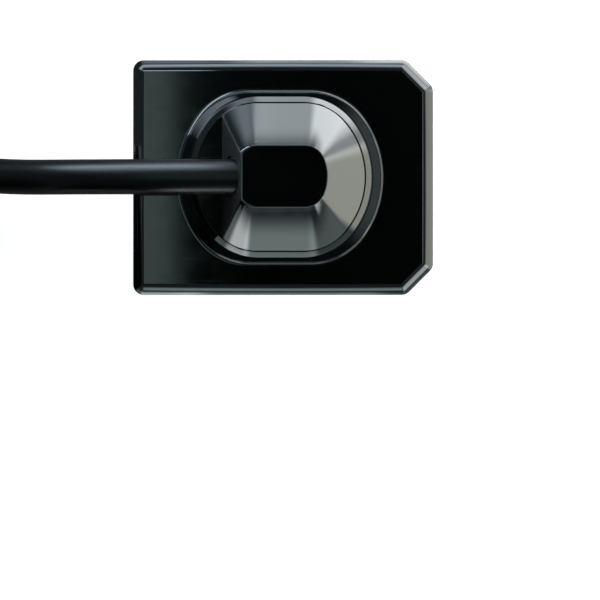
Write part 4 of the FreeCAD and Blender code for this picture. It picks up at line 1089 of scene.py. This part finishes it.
def board_finish():
    """Lacquer over tracks, gilded rings, and bare fibre at the cut edge."""
    finish = Finish("green circuit board", (0.02, 0.14, 0.06), 0.33,
                    **{"Coat Weight": 0.25, "Coat Roughness": 0.12})
    x, y, z = (finish.axis(name) for name in "XYZ")
    patch = finish.grain(3.2 * MM, 1)
    long_way = finish.sum("MULTIPLY", finish.between(finish.ribs(y, 0.5 * MM), 0.62, 0.7),
                          finish.between(patch, 0.52, 0.54))
    short_way = finish.sum("MULTIPLY", finish.between(finish.ribs(x, 0.6 * MM), 0.62, 0.7),
                           finish.between(patch, 0.47, 0.45))
    tracks = finish.sum("MAXIMUM", long_way, short_way)
    vias = finish.between(finish.cells(2.6 * MM, spread=0.6, stretch=(1, 1, 40)),
                          0.075, 0.055)
    mask = finish.tint(tracks, (0.008, 0.085, 0.035), (0.02, 0.17, 0.07))
    mask = finish.tint(vias, mask, (0.75, 0.6, 0.3))
    lacquer = finish.between(finish.sum("ABSOLUTE", finish.sum("SUBTRACT", z, BOARD_MIDDLE)),
                             0.235 * MM, 0.245 * MM)
    finish.drive("Base Color", finish.tint(lacquer, (0.33, 0.36, 0.2), mask))
    finish.drive("Roughness", finish.between(finish.grain(0.3 * MM), 0.3, 0.7, 0.26, 0.4))
    finish.relief(tracks, 0.03 * MM)
    finish.relief(finish.grain(0.4 * MM, 2), 2e-6)
    return finish


coat(board_finish(), "circuit_board")

# %% [markdown]
# ## Packages on the board
# Chips are epoxy filled with glass powder: charcoal grey, even, and slightly glittering.
# Capacitors are fired ceramic between two tinned ends.  All seven lie side by side, so one
# distance across the row is enough to tell body from ends.  The sockets are nylon, and the
# wires are coloured one by one by their place in the row.

# %% Finishes of the packages
CAPACITOR_ROW = -12.7 * MM


def chip_finish():
    """Dark epoxy with specks of glass powder."""
    finish = Finish("moulded epoxy", (0.022, 0.022, 0.024), 0.5)
    powder = finish.cells(0.06 * MM, out="Color")
    finish.drive("Base Color", finish.tint(finish.between(powder, 0.2, 1.0),
                                           (0.016, 0.016, 0.018), (0.045, 0.045, 0.048)))
    finish.drive("Roughness", finish.between(finish.grain(0.8 * MM), 0.3, 0.7, 0.42, 0.56))
    finish.relief(finish.grain(0.05 * MM, 3), 4e-6)
    return finish


def capacitor_finish():
    """Speckled ceramic in the middle of the row, tin at both ends."""
    finish = Finish("fired ceramic chips", (0.42, 0.3, 0.19), 0.45)
    from_middle = finish.sum("ABSOLUTE", finish.sum("SUBTRACT", finish.axis("Y"),
                                                    CAPACITOR_ROW))
    end = finish.between(from_middle, 0.5 * MM, 0.52 * MM)
    fired = finish.tint(finish.grain(0.25 * MM, 4), (0.3, 0.2, 0.12), (0.5, 0.37, 0.25))
    finish.drive("Base Color", finish.tint(end, fired, (0.72, 0.71, 0.69)))
    finish.drive("Metallic", end)
    finish.drive("Roughness", finish.between(finish.grain(0.12 * MM), 0.3, 0.7, 0.3, 0.5))
    finish.relief(finish.grain(0.09 * MM, 2), 6e-6)
    return finish


def nylon_finish(title, light, dark, size):
    """Slightly clear plastic with flow marks of one size."""
    finish = Finish(title, light, 0.42, **{"Subsurface Weight": 0.1,
                                           "Subsurface Scale": 0.0004})
    flow = finish.grain(size, 4, (1, 1, 3))
    finish.drive("Base Color", finish.tint(flow, light, dark))
    finish.drive("Roughness", finish.between(flow, 0.3, 0.7, 0.36, 0.5))
    finish.relief(finish.grain(0.1 * MM, 2), 4e-6)
    return finish


def wire_finish():
    """Four insulations by the wire's place across the row, each slightly mottled."""
    finish = Finish("coloured wires", (0.45, 0.05, 0.04), 0.38)
    y = finish.axis("Y")
    shade = (0.5, 0.03, 0.025)
    for edge, colour in ((-1.0, (0.75, 0.74, 0.7)), (0.0, (0.03, 0.28, 0.08)),
                         (1.0, (0.02, 0.02, 0.022))):
        shade = finish.tint(finish.sum("GREATER_THAN", y, edge * MM), shade, colour)
    mottle = finish.between(finish.grain(0.3 * MM), 0.3, 0.7, 0.0, 0.25)
    finish.drive("Base Color", finish.tint(mottle, shade, (0.12, 0.1, 0.1)))
    finish.relief(finish.grain(0.12 * MM, 2), 3e-6)
    return finish


coat(chip_finish(), "readout_chip", "controller_chip", "regulator_chip")
coat(capacitor_finish(), "capacitors")
coat(nylon_finish("cream nylon", (0.74, 0.69, 0.55), (0.64, 0.58, 0.43), 0.8 * MM),
     "wire_plug", "board_socket")
coat(nylon_finish("pale glass-filled frame", (0.7, 0.68, 0.6), (0.58, 0.56, 0.49),
                  0.3 * MM), "spacer_frame")
coat(nylon_finish("white plug tongue", (0.8, 0.8, 0.79), (0.7, 0.7, 0.69), 1.5 * MM),
     "plug_tongue")
coat(wire_finish(), "signal_wires")

# %% [markdown]
# ## Imaging layers
# X-rays pass the tray and light up a white scintillator, whose light goes down a plate of
# glass fibres to a silicon die on its ceramic carrier.  A carbon sheet and a foam pad lie in
# front.  Each layer has its own structure: needles, packed fibres, rows of light cells, a twill
# of carbon and open foam.

# %% Finishes of the imaging layers
def die_finish():
    """A grid of light cells a tenth of a millimetre apart over a violet sheen."""
    finish = Finish("silicon die", (0.06, 0.05, 0.09), 0.16, Metallic=0.7)
    x, y = finish.axis("X"), finish.axis("Y")
    grid = finish.sum("MULTIPLY", finish.between(finish.ribs(x, 0.1 * MM), 0.1, 0.3),
                      finish.between(finish.ribs(y, 0.1 * MM), 0.1, 0.3))
    sheen = finish.tint(finish.grain(9 * MM, 1), (0.10, 0.05, 0.16), (0.04, 0.10, 0.14))
    finish.drive("Base Color", finish.tint(grid, (0.012, 0.012, 0.016), sheen))
    finish.drive("Roughness", finish.between(grid, 0, 1, 0.34, 0.13))
    finish.relief(grid, 2e-6)
    return finish


def fibre_finish():
    """Packed cells, each the end of a fibre with its own grey, and dark glass between."""
    finish = Finish("fibre-optic glass", (0.5, 0.55, 0.5), 0.1)
    edge = finish.cells(0.05 * MM, "DISTANCE_TO_EDGE", (1, 1, 60), 0.4)
    tone = finish.cells(0.05 * MM, "F1", (1, 1, 60), 0.4, "Color")
    core = finish.tint(tone, (0.42, 0.48, 0.42), (0.62, 0.68, 0.62))
    finish.drive("Base Color", finish.tint(finish.between(edge, 0.03, 0.1),
                                           (0.1, 0.13, 0.11), core))
    finish.drive("Roughness", finish.between(edge, 0.0, 0.2, 0.26, 0.08))
    return finish


def layer_finish(title, dark, light, roughness, size, depth, stretch=(1, 1, 1)):
    """Granules, needles or pores of one size, darker between them."""
    finish = Finish(title, light, roughness)
    pores = finish.cells(size, "F1", stretch)
    cloud = finish.grain(size * 14, 3)
    shade = finish.sum("MULTIPLY", finish.between(pores, 0.75, 0.2),
                       finish.between(cloud, 0.2, 0.7, 0.7, 1.0))
    finish.drive("Base Color", finish.tint(shade, dark, light))
    finish.drive("Roughness", finish.between(shade, 0, 1, roughness + 0.1, roughness - 0.05))
    finish.relief(shade, depth)
    return finish


def carbon_finish():
    """Twill: each tow passes over two and under two, one step on in the next row."""
    finish = Finish("carbon twill", (0.02, 0.02, 0.022), 0.28,
                    **{"Coat Weight": 0.6, "Coat Roughness": 0.08})
    tow = 0.5 * MM
    x, y = finish.axis("X"), finish.axis("Y")
    step = [finish.sum("FLOOR", finish.sum("MULTIPLY", a, 1 / tow)) for a in (x, y)]
    over = finish.sum("LESS_THAN", finish.sum("FLOORED_MODULO", finish.sum("ADD", *step), 4.0),
                      2.0)
    strands = finish.tint(over, finish.add("CombineXYZ", {0: finish.ribs(x, 0.06 * MM)}),
                          finish.add("CombineXYZ", {0: finish.ribs(y, 0.06 * MM)}))
    strand = finish.axis("X", strands)
    finish.drive("Base Color", finish.tint(over, (0.012, 0.012, 0.014), (0.045, 0.045, 0.05)))
    finish.drive("Roughness", finish.between(strand, 0, 1, 0.36, 0.24))
    finish.relief(strand, 5e-6)
    return finish


coat(die_finish(), "cmos_die")
coat(fibre_finish(), "fibre_optic_plate")
coat(layer_finish("scintillator needles", (0.72, 0.72, 0.7), (0.88, 0.88, 0.86), 0.6,
                  0.03 * MM, 3e-6), "scintillator")
coat(layer_finish("fired alumina", (0.7, 0.69, 0.66), (0.84, 0.83, 0.8), 0.4, 0.05 * MM,
                  2e-6), "carrier_plate")
coat(layer_finish("open grey foam", (0.05, 0.05, 0.055), (0.27, 0.27, 0.28), 0.85,
                  0.22 * MM, 0.12 * MM), "shock_pad")
coat(carbon_finish(), "scintillator_backing")

# %% [markdown]
# ## Floor
# The sensor lies on a pale sheet of acrylic that is lit from below, as a light table is.  It
# stays white and lifts the shadows, and its matt face shows no reflection.  In the mirror
# images of the polished parts it is painted dark: glossy rays see a dark colour and a weak glow.
# Fine noise keeps it from being a mathematically even white.

# %% Floor
FLOOR_GAP = 0.05 * MM


def make_floor(half):
    """A square sheet, a hair below the sensor so that the two never touch."""
    mesh = bpy.data.meshes.new("floor")
    corner = np.array([(-1, -1, 0), (1, -1, 0), (1, 1, 0), (-1, 1, 0)]) * half
    mesh.from_pydata((corner - (0, 0, FLOOR_GAP)).tolist(), [], [(0, 1, 2, 3)])
    floor = bpy.data.objects.new("floor", mesh)
    scene.collection.objects.link(floor)
    return floor


floor = make_floor(3.0)
sheet = Finish("pale acrylic sheet", (0.2, 0.2, 0.2), 0.7,
               **{"Emission Color": (1.0, 1.0, 1.0, 1.0), "Specular IOR Level": 0.0})
# Painted shade in mirror images: for glossy rays the sheet's colour and glow drop, so it mirrors
# dark.
mirrored = sheet.add("LightPath", out="Is Glossy Ray")
pale = sheet.tint(sheet.grain(1.0 * MM), (0.32, 0.32, 0.32), (0.36, 0.36, 0.36))
sheet.drive("Base Color", sheet.tint(mirrored, pale, (0.05, 0.05, 0.05)))
sheet.drive("Emission Strength", sheet.between(mirrored, 0.0, 1.0, 0.9, 0.15))
coat(sheet, floor)

# %% [markdown]
# ## Soft lights
# The lights are surfaces that glow by themselves, brighter or darker from point to point.
# Lamps would be simpler, but a polished part mirrors a lamp's hard outline.  The camera looks
# through every surface, so that only its mirror image is seen.

# %% Helpers for lights
def smooth_edge(distance, softness):
    """From 1 inside to 0 outside, softened over a width about the edge."""
    return 1 - smooth_step(distance / softness + 0.5)


def glow_finish(title):
    """The light of each point, given off with no shading of its own."""
    glow = Finish(title, (0, 0, 0), 1.0)
    emission = glow.tree.nodes.new("ShaderNodeEmission")
    glow.tree.links.new(glow.add("Attribute", out="Color", attribute_name="light"),
                        emission.inputs["Color"])
    glow.tree.links.new(emission.outputs[0],
                        glow.tree.nodes["Material Output"].inputs["Surface"])
    glow.tree.nodes.remove(glow.shader)
    return glow


def hang(title, points, faces, light):
    """Studio equipment: it glows by its points' light, and the camera looks through it."""
    mesh = bpy.data.meshes.new(title)
    mesh.from_pydata(points.reshape(-1, 3).tolist(), [], faces.tolist())
    colour = np.concatenate([light.reshape(-1, 3), np.ones((light.size // 3, 1))], axis=1)
    patches = mesh.attributes.new("light", "FLOAT_COLOR", "POINT")
    patches.data.foreach_set("color", colour.ravel().astype(np.float32))
    thing = bpy.data.objects.new(title, mesh)
    scene.collection.objects.link(thing)
    thing.visible_camera = False
    coat(glow_finish("glow of the " + title), thing)


print("an edge 4 mm soft, 1 mm either side of it:", smooth_edge(np.array([-1, 1]), 4).round(2))

# %% [markdown]
# ## Wall of light
# A polished black thing is lit by what it mirrors, so the light is built as a wall of soft
# panels round the sensor, open above, where the camera looks in, and behind, where the cable
# runs out.  Each panel is a patch of the wall with soft edges: a bearing, a width, a height
# and a brightness.  The wall is one surface whose points carry the sum of the patches.

# %% Wall of soft light
WALL_RADIUS = 46 * MM
WALL_TOP = 110
PANELS = [  # bearing, half width, their softness, low, high, softness, brightness, tint
    (84, 13, 9, -5, 11, 3.5, 5.4, (0.86, 0.96, 1.0)),
    (108, 11, 18, -5, 11, 3.5, 2.6, (0.76, 0.92, 1.0)),
    (103, 47, 10, 12.5, 17, 4, 6.9, (0.76, 0.90, 1.0)),
    (55, 19, 14, -5, 10, 4, 11.5, (0.93, 0.98, 1.0)),
    (46, 13, 10, 11, 17, 4, 8.5, (0.93, 0.98, 1.0)),
    (28, 9, 10, -5, 17, 4, 3.6, (0.93, 0.98, 1.0)),
    (-6, 29, 6, -5, 17, 4, 4.2, (0.97, 1.0, 0.88)),
    (5, 40, 30, 28, 46, 12, 5.0, (0.8, 0.97, 1.0)),
    (-43, 16, 6, 11, 17, 3, 7.0, (0.9, 0.98, 1.0)),
    (-58, 22, 8, -5, 9, 5, 1.15, (0.85, 1.0, 0.98)),
    (-90, 17, 7, -5, 10.5, 4, 2.8, (0.82, 0.98, 0.96)),
    (-90, 27, 8, 13.6, 18, 4, 3.6, (0.76, 0.96, 1.0)),
    (-114, 10, 6, -5, 10, 5, 7.2, (0.93, 0.98, 1.0)),
    (-133, 8, 6, -5, 10, 5, 1.5, (0.85, 1.0, 0.98)),
]
WALL_GLOOM = (0.17, 0.21, 0.24)
GLOOM_EDGE, GLOOM_SOFTNESS = 45, 60  # mm up the wall, where its gloom begins to fade
PASSAGE = dict(left=-146, right=174, top=21)  # bearings and mm, where the cable runs out


def wall_light(bearing, height):
    """Brightness of the wall's points: a gloom, less at the top, and every panel's patch."""
    fade = 0.4 + 0.6 * smooth_edge(height - GLOOM_EDGE, GLOOM_SOFTNESS)
    light = np.ones(bearing.shape + (3,)) * WALL_GLOOM * fade[..., None]
    for middle, half, soft, low, high, blur, power, tint in PANELS:
        aside = np.abs((bearing - middle + 180) % 360 - 180)
        patch = (smooth_edge(aside - half, soft) * smooth_edge(height - high, blur)
                 * smooth_edge(low - height, 2))
        light += patch[..., None] * power * np.array(tint)
    return light


def hang_wall():
    """Rows of a cylinder; the faces where the cable and its coil pass are left out."""
    bearing, height = np.meshgrid(np.linspace(-180, 180, 361), np.concatenate(
        [np.linspace(0, 30, 61), np.linspace(31, WALL_TOP, 60)]))
    turn = np.radians(bearing)
    points = np.stack([WALL_RADIUS * np.cos(turn) + BOSS_X, WALL_RADIUS * np.sin(turn),
                       height * MM], axis=-1)
    faces = grid_faces(*bearing.shape, wrap_columns=False)
    side, level = bearing.ravel()[faces].mean(axis=1), height.ravel()[faces].mean(axis=1)
    beside = (side < PASSAGE["left"]) | (side > PASSAGE["right"])
    passage = beside & (level < PASSAGE["top"])
    hang("light wall", points, faces[~passage], wall_light(bearing, height))


hang_wall()

# %% [markdown]
# ## Cards beside the cable
# The cable is satin, and its round side would mirror half the room as one grey.  A bright
# card stands on its one side and a black card, which photographers call a flag, on its
# other.  So it gets one clear streak of light and stays black below.

# %% Cards beside the cable
CARD_TINT = (0.71, 0.86, 1.0)


def hang_card(title, y, x_ends, z_ends, brightness):
    """An upright rectangle along the cable; brightness is a function of x and z in mm."""
    x, z = np.meshgrid(np.linspace(*x_ends, 89), np.linspace(*z_ends, 75))
    points = np.stack([x, np.full(x.shape, y), z], axis=-1) * MM
    light = brightness(x, z)[..., None] * np.array(CARD_TINT)
    hang(title, points, grid_faces(*x.shape, wrap_columns=False), light)


def streak_light(x, z, power=19):
    """Bright at the cable's height and fading above, and soft at both ends."""
    ends = smooth_edge(x + 10, 4) * smooth_edge(-45 - x, 6)
    return power * ends * smooth_edge(z - 27, 26) * smooth_edge(14.5 - z, 2)


hang_card("bright card", 20, (-48, -8), (13.5, 41), streak_light)
for x_ends, foot in ((-36, -17), 8), ((-17, -13), 12.8):  # higher beside the boss
    hang_card("flag", -16.2, x_ends, (foot, 22), lambda x, z: 0 * x)

# %% [markdown]
# ## Panel overhead
# A faint grey-green panel hangs half a metre up, beside the camera's line.  The plate
# mirrors its edge, which is why the plate is grey at the cable's end and black elsewhere.

# %% Panel overhead
def hang_overhead(edge_x, height, light, length=400, half_width=250):
    """A level sheet whose brightness falls off over the last 3 mm before its edge."""
    x = np.array([edge_x - length, edge_x - 3, edge_x - 2, edge_x - 1, edge_x])
    share = np.array([1, 1, 0.8, 0.3, 0])
    points = np.array([(a, b, height) for b in (-half_width, half_width) for a in x]) * MM
    hang("overhead panel", points, grid_faces(2, len(x), wrap_columns=False),
         np.tile(share, 2)[:, None] * np.array(light))


hang_overhead(-21.5, 500, (0.95, 1.36, 1.28))

# %% [markdown]
# ## Room
# The room beyond is pale at the height of the eye and dark overhead, so that the coil and
# the plug are lit too, and a polished top seen from above stays black.

# %% Room
def make_room(low, high):
    """The world's brightness falls from low at the horizon to high straight above."""
    world = bpy.data.worlds.new("room")
    scene.world = world
    world.use_nodes = True
    nodes, links = world.node_tree.nodes, world.node_tree.links
    direction = nodes.new("ShaderNodeTexCoord")
    split = nodes.new("ShaderNodeSeparateXYZ")
    fall = nodes.new("ShaderNodeMapRange")
    fall.interpolation_type = "SMOOTHSTEP"
    for socket, value in (("From Min", 0.15), ("From Max", 0.85), ("To Min", low),
                          ("To Max", high)):
        fall.inputs[socket].default_value = value
    links.new(direction.outputs["Generated"], split.inputs[0])
    links.new(split.outputs["Z"], fall.inputs["Value"])
    links.new(fall.outputs[0], nodes["Background"].inputs["Strength"])
    nodes["Background"].inputs["Color"].default_value = (0.97, 0.99, 1.0, 1.0)


make_room(1.1, 0.0)
scene.view_settings.view_transform = "Standard"
print("panels:", len(PANELS), "world:", scene.world.name)

# %% [markdown]
# ## Sizes
# The skins follow the CAD pieces, so the two boxes should agree within a tenth of a
# millimetre.  Each skin's box is printed when the skin is made.
